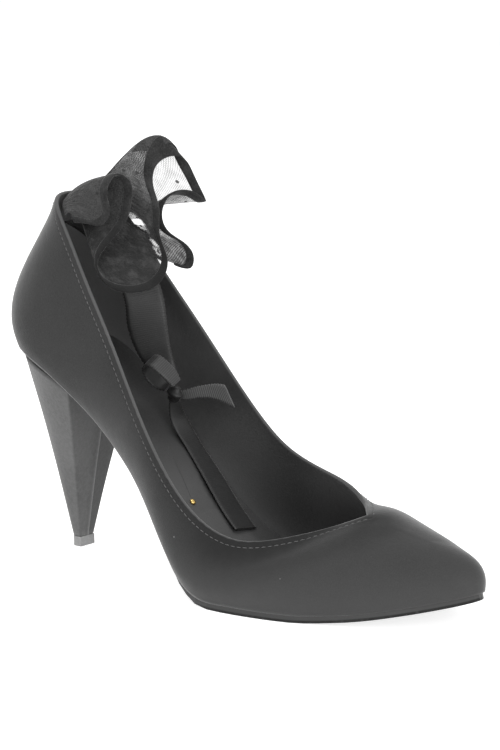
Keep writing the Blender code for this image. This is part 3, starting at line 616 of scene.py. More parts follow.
def tip_finish():
    f = Finish("tip_rubber")
    grain = f.noise(900.0, 3.0)
    f.mottle(f.noise(160.0, 2.0), 0.3, 0.7, 0.21, 0.27)
    f.tint(f.ramp(grain, 0.5, 0.8), 0.36, 0.5)
    return f.done(Roughness=0.6, Normal=f.bump(grain, 0.25, 0.0002))


# Lower line of the sole's side at the toe, in metres: where it starts to rise, the run and the rise there
TOE_RISE_X = 0.0544
TOE_RISE_RUN = 0.035
TOE_RISE = 0.00427


def sole_finish():
    """Dark sole, with a lighter side above a thin dark line along the ground."""
    f = Finish("sole_rubber")
    grain = f.noise(700.0, 3.0)
    wear = f.noise(60.0, 4.0, 0.65)
    f.mottle(wear, 0.45, 0.75, 0.008, 0.024)
    f.tint(f.ramp(grain, 0.55, 0.75), 0.05, 0.35)
    facing = f.put("ShaderNodeNewGeometry").outputs["True Normal"]
    level_face = f.maths("ABSOLUTE", f.split(facing)[2])
    x, _, z = f.split(f.place())
    toe_run = f.maths("DIVIDE", f.maths("SUBTRACT", x, TOE_RISE_X), TOE_RISE_RUN)
    ground = f.times(f.maths("POWER", f.maths("MAXIMUM", toe_run, 0.0), 1.6), TOE_RISE)
    high = f.ramp(f.maths("SUBTRACT", z, ground), 0.0008, 0.0013)
    f.tint(f.times(f.ramp(level_face, 0.5, 0.3), high), 0.042)
    return f.done(
        Roughness=f.ramp(wear, 0.3, 0.7, 0.62, 0.78), Specular_IOR_Level=0.2,
        Sheen_Weight=0.3, Sheen_Roughness=0.4, Normal=f.bump(grain, 0.25, 0.0002),
    )


def insole_finish():
    f = Finish("insole_leather")
    grain = f.noise(1100.0, 3.0, 0.6)
    f.mottle(f.noise(35.0, 3.0), 0.3, 0.7, 0.033, 0.044)
    f.tint(f.ramp(grain, 0.4, 0.7), 0.062, 0.3)
    place = f.place()
    x, y, _ = f.split(place)
    # Painted shade: darker on the far side behind the front, and all across towards the back
    far = f.times(f.ramp(y, 0.011, 0.016), f.ramp(x, 0.036, 0.022))
    f.tint(f.maths("MAXIMUM", far, f.ramp(x, -0.018, -0.042)), 0.022)
    # Painted light: lighter again at the very back
    f.tint(f.ramp(x, -0.048, -0.070), 0.042)
    waves = {"Vector": place, "Scale": 62.0, "Distortion": 5.0, "Detail": 1.0, "Detail Scale": 1.2}
    folds = f.put("ShaderNodeTexWave", waves, bands_direction="X").outputs[1]
    near = f.times(f.ramp(x, 0.002, 0.014), f.ramp(x, 0.052, 0.034))
    return f.done(
        Roughness=f.ramp(grain, 0.3, 0.7, 0.45, 0.62), Sheen_Weight=0.08,
        Normal=f.bump(grain, 0.25, 0.0002, f.bump(f.times(folds, near), 0.16, 0.0012)),
    )


def velvet_finish():
    f = Finish("velvet_black")
    pile = f.noise(1500.0, 3.0, 0.6)
    crushed = f.noise(170.0, 3.0)
    f.mottle(crushed, 0.35, 0.7, 0.012, 0.024)
    f.tint(f.ramp(pile, 0.4, 0.75), 0.055, 0.4)
    f.tint(f.mark("shade"), 0.006)
    return f.done(
        Roughness=0.9, Specular_IOR_Level=0.15, Sheen_Weight=0.22, Sheen_Roughness=0.4,
        Normal=f.bump(pile, 0.5, 0.0003, f.bump(crushed, 0.3, 0.0008)),
    )


NET_DOT_PITCH = 13.0
NET_DOT_RADIUS = 0.8
NET_THREAD_PITCH = 1.0


def net_finish():
    """Fine see-through net of crossed threads with a few flocked dots; cover tells how close it lies."""
    f = Finish("net_sheer")
    run, side, place = f.strip_place()
    cover = f.mark("cover")
    down = f.maths("DIVIDE", side, NET_DOT_PITCH)
    row = f.maths("MODULO", f.maths("FLOOR", down), 2.0)
    ahead = f.maths("ADD", f.maths("DIVIDE", run, NET_DOT_PITCH), f.times(row, 0.5))
    offsets = []
    for value in (ahead, down):
        offset = f.times(f.maths("SUBTRACT", f.maths("FRACT", value), 0.5), NET_DOT_PITCH)
        offsets.append(f.times(offset, offset))
    far = f.maths("SQRT", f.maths("ADD", *offsets))
    dot = f.ramp(far, NET_DOT_RADIUS * 1.15, NET_DOT_RADIUS * 0.8)
    lines = []
    for operation in ("ADD", "SUBTRACT"):
        wave = f.maths("SINE", f.times(f.maths(operation, run, side), math.pi / NET_THREAD_PITCH))
        lines.append(f.ramp(f.maths("ABSOLUTE", wave), 0.55, 0.2))
    thread = f.maths("MAXIMUM", *lines)
    cloudy = f.noise(0.3, 3.0, 0.6, place)
    share = f.times(cover, f.ramp(cloudy, 0.25, 0.75, 0.8, 1.2))
    share = f.times(share, f.maths("ADD", f.times(thread, 0.7), 0.65), True)
    share = f.maths("ADD", share, f.ramp(cover, 0.90, 1.0), True)
    share = f.maths("MAXIMUM", share, f.times(dot, 0.92), True)
    crumpled = f.noise(0.16, 4.0, 0.65, place)
    f.mottle(f.noise(1.6, 3.0, 0.7, place), 0.35, 0.7, 0.014, 0.048)
    f.tint(f.mark("shade"), 0.004)
    f.tint(f.ramp(crumpled, 0.45, 0.68), 0.055, 0.45)
    f.tint(dot, 0.012)
    f.done(
        Roughness=0.8, Specular_IOR_Level=0.25, Sheen_Weight=0.2, Sheen_Roughness=0.4,
        Normal=f.bump(cloudy, 0.3, 0.0006, f.bump(crumpled, 0.6, 0.003)),
    )
    clear = f.put("ShaderNodeBsdfTransparent").outputs[0]
    mixed = f.put("ShaderNodeMixShader", {0: share, 1: clear, 2: f.shader.outputs[0]}).outputs[0]
    f.fill(f.tree.nodes["Material Output"], {"Surface": mixed})
    return f.made


RIB_PITCH = 0.85


def grosgrain_finish():
    f = Finish("grosgrain_black")
    run, _, place = f.strip_place()
    wave = f.maths("SINE", f.times(run, 2.0 * math.pi / RIB_PITCH))
    thread = f.noise(2.2, 2.0, 0.6, place)
    rib = f.ramp(wave, -1.0, 1.0)
    f.base = f.blend(rib, grey(0.011), grey(0.015))
    f.tint(f.ramp(f.noise(0.12, 2.0, 0.5, place), 0.35, 0.7), 0.019, 0.4)
    # Painted highlight on the ribs where the light mark is set
    f.tint(f.times(f.mark("light"), f.ramp(wave, -0.6, 0.8, 0.25, 1.0)), 0.095)
    f.tint(f.mark("shade"), 0.005)
    return f.done(
        Roughness=f.ramp(thread, 0.3, 0.7, 0.42, 0.58), Specular_IOR_Level=0.35,
        Sheen_Weight=0.1, Sheen_Roughness=0.35,
        Normal=f.bump(thread, 0.2, 0.0002, f.bump(rib, 0.12, 0.0003)),
    )


def brass_finish():
    f = Finish("brass_worn")
    grain = f.noise(1800.0, 3.0)
    f.base = f.blend(f.ramp(grain, 0.3, 0.7), (0.50, 0.33, 0.10, 1.0), (0.72, 0.52, 0.20, 1.0))
    return f.done(Metallic=1.0, Roughness=f.ramp(grain, 0.3, 0.7, 0.2, 0.36))


def thread_finish(name, dark, light):
    f = Finish(name)
    twist = f.noise(2400.0, 2.0)
    f.mottle(twist, 0.35, 0.65, dark, light)
    return f.done(Roughness=0.6, Sheen_Weight=0.2, Normal=f.bump(twist, 0.4, 0.0002))


def floor_finish():
    f = Finish("floor_pale")
    f.base = f.blend(f.noise(3.0, 2.0), grey(0.60), grey(0.63))
    return f.done(Roughness=0.9, Emission_Color=grey(1.0), Emission_Strength=0.75)


suede = suede_finish()
lining = lining_finish()
heel_suede = heel_finish()
velvet = velvet_finish()
net = net_finish()
grosgrain = grosgrain_finish()
brass = brass_finish()
thread = thread_finish("thread_grey", 0.04, 0.08)
groove_dark = thread_finish("crease_dark", 0.010, 0.018)


# Upper: outer skin, rolled top edge and lining

SUEDE_FACE = 0
LINING_FACE = 1
RIM_STEPS = 6
# Strips of the rolled edge that are suede; the lining has the others
RIM_SUEDE = 4
RIM_RISE = 0.4
# How far the lower edge comes down onto the sole, and over which x this starts
SEAT_DOWN = 0.28
SEAT_X = (75.0, 90.0)
# Mark of each row of the rolled edge from outside to inside: nought is the fold line, where a thin light line
# is painted as a highlight
RIM_EDGE = (-0.1, 0.0, 0.0, -0.5, -1.0)


def upper_grid():
    """Dense grid all round the shoe: the turned margin, then the wall from bottom to top."""
    ring = eased_ring()
    wall = finer(ring[:, 1:].swapaxes(0, 1), WALL_FINER).swapaxes(0, 1)
    grid = finer(np.concatenate([ring[:, :1], wall], axis=1), ROUND_FINER, True)
    count = len(grid)
    half = count // 2
    k = np.arange(half + 1) / ROUND_FINER
    throat = FAN_STEPS + RIDGE_STEPS
    for side in (OUTER_SIDE, INNER_SIDE):
        ridge = along(ridge_line(), np.clip((k - FAN_STEPS) / RIDGE_STEPS, 0.0, 1.0))
        collar = along(collar_edge(side), np.clip((k - throat) / COLLAR_STEPS, 0.0, 1.0))
        top = np.where((k <= throat)[:, None], ridge, collar)
        order = np.arange(half + 1) if side == OUTER_SIDE else (count - np.arange(half + 1)) % count
        grid[order, -1] = top
    return grid


def edge_distance(points, line, batch=2000):
    made = np.empty(len(points))
    for first in range(0, len(points), batch):
        part = points[first:first + batch]
        made[first:first + batch] = np.sqrt(((part[:, None] - line[None]) ** 2).sum(axis=2).min(axis=1))
    return made


grid = upper_grid()
grid[:, :2, 2] -= SEAT_DOWN * np.interp(grid[:, :2, 0], SEAT_X, (0.0, 1.0))
around, levels = grid.shape[:2]
all_points = grid.reshape(-1, 3)
topline = np.vstack([collar_edge(OUTER_SIDE), collar_edge(INNER_SIDE)[::-1]])
far_from_top = edge_distance(all_points, topline).reshape(around, levels)
_, first_seen, index = np.unique(np.round(all_points, 3), axis=0, return_index=True, return_inverse=True)
index = index.reshape(around, levels)
skin = all_points[first_seen]
after = np.roll(index, -1, axis=0)
quads = np.stack([index[:, :-1], index[:, 1:], after[:, 1:], after[:, :-1]], axis=-1).reshape(-1, 4)
area = np.cross(skin[quads[:, 2]] - skin[quads[:, 0]], skin[quads[:, 3]] - skin[quads[:, 1]])
normals = np.zeros_like(skin)
for corner in range(4):
    np.add.at(normals, quads[:, corner], area)
normals = unit(normals)
inside = skin - WALL * normals
size = len(skin)
first_collar = (FAN_STEPS + RIDGE_STEPS) * ROUND_FINER
collar_rows = np.arange(first_collar, around - first_collar + 1)
up_wall = unit(grid[collar_rows, -1] - grid[collar_rows, -2])
up_wall[0] = up_wall[-1] = unit(up_wall[0] + up_wall[-1])
top_index = index[collar_rows, -1]
middle = 0.5 * (skin[top_index] + inside[top_index])
rim = []
for i in range(1, RIM_STEPS):
    turn = math.pi * i / RIM_STEPS
    out = middle + 0.5 * WALL * math.cos(turn) * normals[top_index]
    rim.append(out + RIM_RISE * math.sin(turn) * up_wall)
rim_index = [top_index]
for i in range(RIM_STEPS - 1):
    rim_index.append(2 * size + i * len(collar_rows) + np.arange(len(collar_rows)))
rim_index.append(top_index + size)
rim_quads = []
for low_row, high_row in zip(rim_index[:-1], rim_index[1:]):
    rim_quads.append(np.stack([low_row[:-1], high_row[:-1], high_row[1:], low_row[1:]], axis=-1))
faces = []
face_kind = []
for rows, kind in (
    (quads, SUEDE_FACE), (np.concatenate(rim_quads[:RIM_SUEDE]), SUEDE_FACE),
    (np.concatenate(rim_quads[RIM_SUEDE:]), LINING_FACE), (quads[:, ::-1] + size, LINING_FACE),
):
    for row in rows.tolist():
        ring = [v for n, v in enumerate(row) if v != row[n - 1]]
        if len(ring) > 2:
            faces.append(ring)
            face_kind.append(kind)
points = np.vstack([skin, inside] + rim)
skin_edge = far_from_top.reshape(-1)[first_seen]
upper = piece("upper_skin", points, faces, [suede, lining], face_kind, {
    "edge_mm": np.concatenate([skin_edge, skin_edge, np.repeat(RIM_EDGE, len(collar_rows))]),
})
on_root(upper, "upper_satin", "upper")

# Stitches that follow the top edge

STITCH_PITCH = 2.5
STITCH_LONG = 1.75
STITCH_RADIUS = 0.17
# Rows of the grid by which the stitches go past the throat
STITCH_PAST = 12


def capsules(starts, ends, ups, radius, sides=6, rings=5):
    """Small rounded rods, all in one mesh."""
    points = []
    faces = []
    turn = 2.0 * math.pi * np.arange(sides)[:, None] / sides
    for a, b, up in zip(starts, ends, ups):
        way = unit(b - a)
        out = unit(up - np.dot(up, way) * way)
        cross = np.cross(way, out)
        rod = []
        for s in np.arange(rings) / (rings - 1):
            wide = radius * (0.35 + 0.65 * math.sin(math.pi * s) ** 0.5)
            lift_up = 0.5 * radius * math.sin(math.pi * s)
            spot = a + s * (b - a) + out * (wide * np.cos(turn) + lift_up)
            rod.append(spot + cross * wide * np.sin(turn))
        rod_points, rod_faces = capped_loft(rod)
        faces += [[v + len(points) for v in ring] for ring in rod_faces]
        points += rod_points.tolist()
    return np.array(points), faces


def contour(rows, distance):
    """Points and normals where the skin is so far from the top edge, one a row of the grid."""
    made = []
    ways = []
    for r in rows:
        for j in range(levels - 1, 1, -1):
            near, far = far_from_top[r, j], far_from_top[r, j - 1]
            if near < distance <= far:
                s = (distance - near) / (far - near)
                made.append((1.0 - s) * grid[r, j] + s * grid[r, j - 1])
                ways.append(unit((1.0 - s) * normals[index[r, j]] + s * normals[index[r, j - 1]]))
                break
    return np.array(made), np.array(ways)


stitch_rows = np.arange(first_collar - STITCH_PAST, around - first_collar + STITCH_PAST) % around
stitch_line, stitch_up = contour(stitch_rows, STITCH_IN)
stitch_run = shares(stitch_line)
stitch_count = int(line_length(stitch_line) / STITCH_PITCH)
stitch_middle = (np.arange(stitch_count) + 0.5) / stitch_count
stitch_half = 0.5 * STITCH_LONG / line_length(stitch_line)
stitch_from = along(stitch_line, stitch_middle - stitch_half)
stitch_to = along(stitch_line, stitch_middle + stitch_half)
stitch_way = unit(np.stack([np.interp(stitch_middle, stitch_run, column) for column in stitch_up.T], axis=-1))
stitches = piece("topline_stitches", *capsules(stitch_from, stitch_to, stitch_way, STITCH_RADIUS), [thread])
on_root(stitches, "upper_satin")


# Heel with its cover: two flaps meet on the breast

HEEL_STEPS = 30
HEEL_ROUND = 44
HEEL_SIDE_STEPS = 8
CORNER_ROUND = 0.9
LIP_WIDTH = 0.7
LIP_RISE = 0.45
FLAP_STEP = 0.3
# Foot of the lip on the near flap, in widths of the lip
LIP_FOOT = 1.9
# Seam of the cover down the breast: share of the way down, y
COVER_SEAM = [(0.0, 3.4), (0.5, 1.6), (1.0, 0.2)]
# Heel seat under the lasted bottom: the sole with a gap on both sides
HEEL_SEAT = -(GAP + WAIST_SOLE + GAP)


def heel_outline(share):
    """Level outline with rounded front corners; also the marks of the far flap, which gets painted shade, and
    of the lip, which gets a painted highlight.
    """
    way_down, *sizes = np.array(HEEL_SECTIONS).T
    breast, breast_half, middle_x, half, back = [float(level(zip(way_down, size), share)) for size in sizes]
    corner = min(CORNER_ROUND, 0.3 * breast_half)
    front = breast - corner
    flat = breast_half - corner
    seam = float(np.interp(share, *np.array(COVER_SEAM).T))
    foot = seam - LIP_FOOT * LIP_WIDTH
    side = []
    for i in range(HEEL_SIDE_STEPS):
        ahead = 1.0 - i / HEEL_SIDE_STEPS
        swell = math.cos(math.pi / 2.0 * ahead)
        side.append((middle_x + ahead * (front - middle_x), breast_half + swell * (half - breast_half)))
    turns = [math.pi * i / HEEL_ROUND for i in range(HEEL_ROUND + 1)]
    rear = [(middle_x - (middle_x - back) * math.sin(turn), -half * math.cos(turn)) for turn in turns]
    turns = [math.pi / 2.0 * i / 4 for i in range(1, 5)]
    bend = [(front + corner * math.sin(turn), flat + corner * math.cos(turn)) for turn in turns]
    far_flap = [(breast, seam + s * (flat - seam)) for s in (0.75, 0.5, 0.25, 0.06)]
    near_flap = [
        (breast + FLAP_STEP * 0.3 * (1.0 - s), foot + s * (-flat - foot)) for s in (0.3, 0.55, 0.8)
    ]
    parts = (
        (0.0, 0.0, [(x, -y) for x, y in side] + rear + side[::-1]),
        (1.0, 0.0, bend + far_flap + [(breast + 0.05, seam + 0.02)]),
        (0.0, 1.0, [(breast + LIP_RISE, seam - 0.06), (breast + LIP_RISE, seam - LIP_WIDTH)]),
        (0.0, 0.0, [(breast + FLAP_STEP * 0.5, foot)] + near_flap + [(x, -y) for x, y in bend[::-1]]),
    )
    ring = [(x, y, far, lip) for far, lip, spots in parts for x, y in spots]
    return np.array(ring[::-1])


heel_rings = []
heel_marks = []
foot_z = TOP_PIECE_HEIGHT + GAP
for i in range(HEEL_STEPS, -1, -1):
    share = i / HEEL_STEPS
    outline = heel_outline(share)
    z = (1.0 - share) * layer_height(outline[:, 0], HEEL_SEAT) + share * foot_z
    heel_rings.append(np.column_stack([outline[:, :2], z]))
    heel_marks.append(outline[:, 2:])
heel_marks = np.concatenate(heel_marks)
heel = piece("heel_cover", *capped_loft(heel_rings), [heel_suede], None, {
    "far_flap": heel_marks[:, 0], "lip": heel_marks[:, 1],
})
on_root(heel, "heel_cover", "heel")


# Sole pieces that keep their solids


def dress(node, made):
    node.data.materials.clear()
    node.data.materials.append(made)


dress(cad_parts["outsole"], sole_finish())
dress(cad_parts["insole"], insole_finish())
dress(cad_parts["top_piece"], tip_finish())
# Width of the rounded edges in metres
for name, width in (("top_piece", 0.0004), ("outsole", 0.0003)):
    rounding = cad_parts[name].modifiers.new("soft_edges", "BEVEL")
    rounding.width = width
    rounding.segments = 2
    rounding.limit_method = "ANGLE"
    rounding.angle_limit = math.radians(50.0)


# Crease line on the insole: a flat narrow strip

CREASE_ENDS = np.array([(73.1, 1.1), (90.6, -4.5)])
CREASE_HALF_WIDTH = 0.36
CREASE_RISE = 0.05
CREASE_STEPS = 30
crease_share = np.linspace(0.0, 1.0, CREASE_STEPS)[:, None]
crease_plan = CREASE_ENDS[0] + crease_share * (CREASE_ENDS[1] - CREASE_ENDS[0])
crease_line = np.column_stack([crease_plan, insole_top(crease_plan[:, 0]) + CREASE_RISE])
crease_side = CREASE_HALF_WIDTH * unit(np.cross(unit(np.gradient(crease_line, axis=0)), UP))
crease_points = np.concatenate([crease_line - crease_side, crease_line + crease_side])
crease_faces = [[i, i + 1, CREASE_STEPS + i + 1, CREASE_STEPS + i] for i in range(CREASE_STEPS - 1)]
on_root(piece("insole_crease", crease_points, crease_faces, [groove_dark]), "insole_grey")


# Stud

STUD_TURNS = 28
# Outline of the head: share of the radius, share of the height
STUD_PROFILE = [(1.0, -0.3), (1.0, 0.3), (0.95, 0.5), (0.8, 0.75), (0.55, 0.93), (0.25, 1.0)]
turns = np.linspace(0.0, 2.0 * math.pi, STUD_TURNS, endpoint=False)
slope = float(slope_at(STUD_X))
stud_up = np.array([-slope, 0.0, 1.0]) / math.hypot(slope, 1.0)
stud_ahead = np.array([1.0, 0.0, slope]) / math.hypot(slope, 1.0)
stud_seat = np.array([STUD_X, STUD_Y, float(insole_top(STUD_X))]) + GAP * stud_up
flat = np.outer(np.cos(turns), stud_ahead) + np.outer(np.sin(turns), np.array([0.0, 1.0, 0.0]))
stud_rings = [
    stud_seat + STUD_RADIUS * wide * flat + STUD_HEIGHT * high * stud_up for wide, high in STUD_PROFILE
]
on_root(piece("stud_head", *capped_loft(stud_rings), [brass]), "brass", "stud")


# Gathered cuff

# Look of the strip along its free edge: place of the fold in its table, how much the net covers
COVER = [
    (0, 1.0), (15, 1.0), (16, 0.96), (17, 0.94), (18, 0.93), (19, 0.92), (20, 0.86), (21, 0.65), (22, 0.5),
    (23, 0.42), (25, 0.42), (26, 0.6), (27, 0.86), (28, 0.86), (29, 0.78), (30, 0.72), (31, 0.85),
    (32, 0.93), (35, 0.93),
]
# See-through places between the folds: place of the fold, share across, half widths of both, cover
SPOTS = [
    (15.62, 0.70, 0.34, 0.15, 0.03), (30.45, 0.34, 0.50, 0.30, 0.03), (15.27, 0.88, 0.14, 0.06, 0.2),
    (15.03, 0.92, 0.14, 0.05, 0.2), (14.70, 0.96, 0.10, 0.05, 0.3), (33.60, 0.30, 1.20, 0.12, 0.5),
]
# Deep inside of the large fold: place of the fold, how much darker
SHADE = [(8.5, 0.0), (10.0, 0.7), (15.5, 0.8), (17.0, 0.0)]
# Closed top of the fold over the window: place of the fold, how much it covers beside the free edge
COVER_TOP = [(18.4, 0.0), (19.2, 1.0), (22.0, 1.0), (22.8, 0.0)]
# How far the pleats stand out along the strip: place of the fold in its table, share of the full depth
PLEATS = [(0, 0.1), (6, 0.12), (9, 0.1), (14, 0.12), (17, 1.0), (35, 1.0)]
GATHER_PITCH = 2.3
GATHER_DEPTH = 0.5
# Where the net ends inside the binding, in widths of the binding from the free edge
NET_INTO_HEM = 0.55


def gathered_edge():
    near = collar_edge(OUTER_SIDE)
    far = collar_edge(INNER_SIDE)
    near_in = near - outward(near, OUTER_SIDE) * GATHER_IN
    far_in = far - outward(far, INNER_SIDE) * GATHER_IN
    line = np.vstack([near_in[shares(near) >= GATHER_NEAR], far_in[shares(far) >= GATHER_FAR][::-1]])
    line[:, 2] -= GATHER_DOWN
    return line


def ruffle_sheet():
    """Dense strip from the gathered edge to the free edge, with the places of the folds along it."""
    rows = np.array(RUFFLE_FOLDS)
    free, fold_run = through(rows[:, 1:4], FREE_EDGE_POINTS)
    step = np.linspace(0.0, 1.0, RUFFLE_STEPS + 1)
    share, width, rise, lean = soft_columns(step, fold_run, rows[:, [0, 4, 5, 6]], FOLD_SOFT)
    base = along(gathered_edge(), share)
    tip = along(free, step)
    over = base + rise[:, None] * UP + lean[:, None] * (tip - base)
    t = np.linspace(0.0, 1.0, SHEET_STEPS)[:, None, None]
    sheet = ((1.0 - t) ** 2 * base + 2.0 * t * (1.0 - t) * over + t * t * tip).swapaxes(0, 1)
    fold = np.interp(step, fold_run, np.arange(len(rows)))
    return sheet, width, fold, step * line_length(free)


def cut(sheet, width, first_in, last_in, count):
    """Part of the strip between two distances from the free edge, as shares of the binding's width."""
    made = []
    for line, wide in zip(sheet, width):
        length = line_length(line)
        first = 0.0 if first_in is None else 1.0 - first_in * wide / length
        made.append(along(line, np.linspace(first, 1.0 - last_in * wide / length, count)))
    return np.array(made)


def grid_faces(rows, columns):
    return [
        [i * columns + j, (i + 1) * columns + j, (i + 1) * columns + j + 1, i * columns + j + 1]
        for i in range(rows - 1) for j in range(columns - 1)
    ]


def grid_normals(cells):
    return unit(np.cross(np.gradient(cells, axis=0), np.gradient(cells, axis=1)))


def at_fold(table):
    """Numbers along the strip from a table of places of the fold."""
    return np.interp(fold_place, *np.array(table).T)


sheet, hem_width, fold_place, strip_run = ruffle_sheet()
net_cells = cut(sheet, hem_width, None, NET_INTO_HEM, RUFFLE_ACROSS)
across = np.linspace(0.0, 1.0, RUFFLE_ACROSS)[None, :]
gathers = np.sin(2.0 * math.pi * strip_run / GATHER_PITCH + 1.3 * np.sin(strip_run / 9.0))
ripples = 0.6 * np.sin(strip_run / 2.1 + 2.0 * np.sin(strip_run / 17.0))
pleat = gathers[:, None] * (1.0 - across) ** 1.5 + ripples[:, None] * np.sin(math.pi * across)
pleat_depth = GATHER_DEPTH * at_fold(PLEATS)
net_cells = net_cells + (pleat_depth[:, None] * pleat)[:, :, None] * grid_normals(net_cells)
cover = softened(at_fold(COVER), COVER_SOFT)[:, None] + 0.35 * np.clip(1.0 - across / 0.3, 0.0, 1.0)
cover_top = at_fold(COVER_TOP)[:, None] * np.clip((across - 0.35) / 0.4, 0.0, 1.0)
cover = np.maximum(cover, cover_top)
for spot_fold, spot_across, half_fold, half_across, spot_cover in SPOTS:
    off = np.hypot((fold_place[:, None] - spot_fold) / half_fold, (across - spot_across) / half_across)
    open_share = np.clip(3.0 * (1.0 - off), 0.0, 1.0)
    cover = cover + open_share * (spot_cover - cover)
depth_steps = np.linalg.norm(np.diff(net_cells, axis=1), axis=2)
depth = np.cumsum(np.pad(depth_steps, ((0, 0), (1, 0))), axis=1)
shade = at_fold(SHADE)
ruffle = piece("cuff_net", net_cells.reshape(-1, 3), grid_faces(*net_cells.shape[:2]), [net], None, {
    "along_mm": np.repeat(strip_run, RUFFLE_ACROSS), "across_mm": depth.reshape(-1),
    "cover": np.clip(cover, 0.0, 1.0).reshape(-1), "shade": np.repeat(shade, RUFFLE_ACROSS),
})
on_root(ruffle, "mesh_grey", "ruffle")

HEM_HALF_THICK = 0.55
HEM_ROUND = 14


def hem_tube():
    """Soft rounded binding along the free edge."""
    edge = cut(sheet, hem_width, 1.0, 0.0, 3)
    normal = grid_normals(edge)[:, 1]
    inner = edge[:, 0]
    way = edge[:, 2] - edge[:, 0]
    rings = []
    for i in range(HEM_ROUND):
        turn = 2.0 * math.pi * i / HEM_ROUND
        across_share = 0.5 - 0.5 * math.cos(turn)
        thick = HEM_HALF_THICK * np.sign(math.sin(turn)) * abs(math.sin(turn)) ** 0.7
        puff = 1.0 + 0.12 * np.sin(strip_run / 1.7) + 0.1 * np.sin(strip_run / 4.3 + 1.0)
        rings.append(inner + across_share * way + (thick * puff)[:, None] * normal)
    points, faces = capped_loft(np.stack(rings, axis=1))
    # Each ring turns the other way round here
    sides = [ring[:1] + ring[:0:-1] for ring in faces[:-2]]
    return points, sides + [ring[::-1] for ring in faces[-2:]]


hem = piece("cuff_hem", *hem_tube(), [velvet], None, {"shade": np.repeat(shade, HEM_ROUND)})
on_root(hem, "velvet", "ruffle_hem")


# Ribbon tie

PICOT_PITCH = 1.5
PICOT_REACH = 0.35
# Starts of the two ends inside the knot, with the columns of their tables
SHORT_END_IN = [(73.4, 6.8, 69.4, 1.6, 221.0, 72.0)]
TAIL_IN = [(72.4, 6.8, 17.4, 1.8, 50.0, 0.0)]


def ribbon_cells(rows, over_insole=False, square=True):
    rows = np.array(rows)
    if over_insole:
        rows[:, 2] += insole_top(rows[:, 0])
    line, bend_run = through(rows[:, :3], RIBBON_POINTS)
    length = line_length(line)
    step = np.linspace(0.0, 1.0, int(length / RIBBON_PITCH) + 1)
    centre = along(line, step)
    if over_insole:
        centre[:, 2] = np.maximum(centre[:, 2], insole_top(centre[:, 0]) + RIBBON_CLEAR)
    half, turn, tilt = soft_columns(step, bend_run, rows[:, 3:], BEND_SOFT)
    turn, tilt = np.radians([turn, tilt])
    way = np.column_stack([np.cos(tilt) * np.cos(turn), np.cos(tilt) * np.sin(turn), np.sin(tilt)])
    if square:
        run_way = unit(np.gradient(centre, axis=0))
        way = unit(way - (way * run_way).sum(axis=1)[:, None] * run_way)
    run_mm = step * length
    s = np.linspace(-1.0, 1.0, RIBBON_ACROSS)
    cells = centre[:, None] + s[None, :, None] * half[:, None, None] * way[:, None]
    picot = PICOT_REACH * np.abs(np.sin(math.pi * run_mm / PICOT_PITCH))
    cells[:, 0] -= picot[:, None] * way
    cells[:, -1] += picot[:, None] * way
    return cells, run_mm, half[:, None] * s[None, :]


def ribbon_piece(name, node, rows, light=(0.0, 0.0), shade=0.0, **kind):
    """Ribbon and its length, with painted highlight given for its two ends, and painted shade on the side
    that faces its own middle.
    """
    cells, run_mm, side_mm = ribbon_cells(rows, **kind)
    normal = grid_normals(cells)
    rows_count, columns = cells.shape[:2]
    thin = np.full((1, columns, 1), 0.5 * RIBBON_THICK)
    thin[:, [0, -1]] *= RIBBON_EDGE_THIN
    points = np.vstack([(cells + thin * normal).reshape(-1, 3), (cells - thin * normal).reshape(-1, 3)])
    half_count = rows_count * columns
    front = grid_faces(rows_count, columns)
    faces = front + [[v + half_count for v in ring][::-1] for ring in front]
    order = np.arange(half_count).reshape(rows_count, columns)
    border = np.concatenate([order[:, 0], order[-1, 1:], order[-2::-1, -1], order[0, -2:0:-1]]).tolist()
    faces += [[b, a, a + half_count, b + half_count] for a, b in zip(border, border[1:] + border[:1])]
    run_all = np.repeat(run_mm, columns)
    light_all = np.interp(run_all, [0.0, run_mm[-1]], light)
    inward = ((cells.mean(axis=(0, 1)) - cells) * normal).sum(axis=2).reshape(-1)
    shade_all = np.concatenate([shade * (inward > 0.0), shade * (inward < 0.0)])
    made = piece(name, points, faces, [grosgrain], None, {
        "light": np.tile(light_all, 2) * (shade_all == 0.0), "shade": shade_all,
        "along_mm": np.tile(run_all, 2), "across_mm": np.tile(side_mm.reshape(-1), 2),
    })
    on_root(made, "grosgrain", node)
    return made, run_mm[-1]


short_rows = SHORT_END_IN + RIBBON_SHORT_END
strap, strap_run = ribbon_piece("tie_strap", "ribbon_strap", RIBBON_STRAP)
loop = ribbon_piece("tie_loop", "ribbon_loop", RIBBON_LOOP, (0.25, 0.25), 0.85)[0]
short_end = ribbon_piece("tie_short_end", "ribbon_short_end", short_rows, (0.1, 1.0), square=False)[0]
tail, tail_run = ribbon_piece("tie_tail", "ribbon_tail", TAIL_IN + RIBBON_TAIL, over_insole=True)

KNOT_TURNS = 48
KNOT_RINGS = 40
KNOT_FOLDS = 5.0
KNOT_RELIEF = 0.09
KNOT_SHADE = 0.8
turn = np.linspace(0.0, 2.0 * math.pi, KNOT_TURNS, endpoint=False)
knot_points = []
for i in range(KNOT_RINGS):
    rise = math.pi * (i + 1) / (KNOT_RINGS + 1)
    level_ring = np.sin(rise) * np.column_stack([np.cos(turn), np.sin(turn)])
    ring = np.column_stack([level_ring, np.full(KNOT_TURNS, -math.cos(rise))])
    wrap = np.sin(KNOT_FOLDS * (ring[:, 2] * 1.2 + 0.5 * ring[:, 0]) + 0.6) * np.sin(rise)
    relief = (1.0 + KNOT_RELIEF * wrap)[:, None]
    knot_points.append(np.array(KNOT_CENTRE) + ring * np.array(KNOT_RADII) * relief)
knot_mesh = capped_loft(knot_points)
knot_all = knot_mesh[0] - np.array(KNOT_CENTRE)
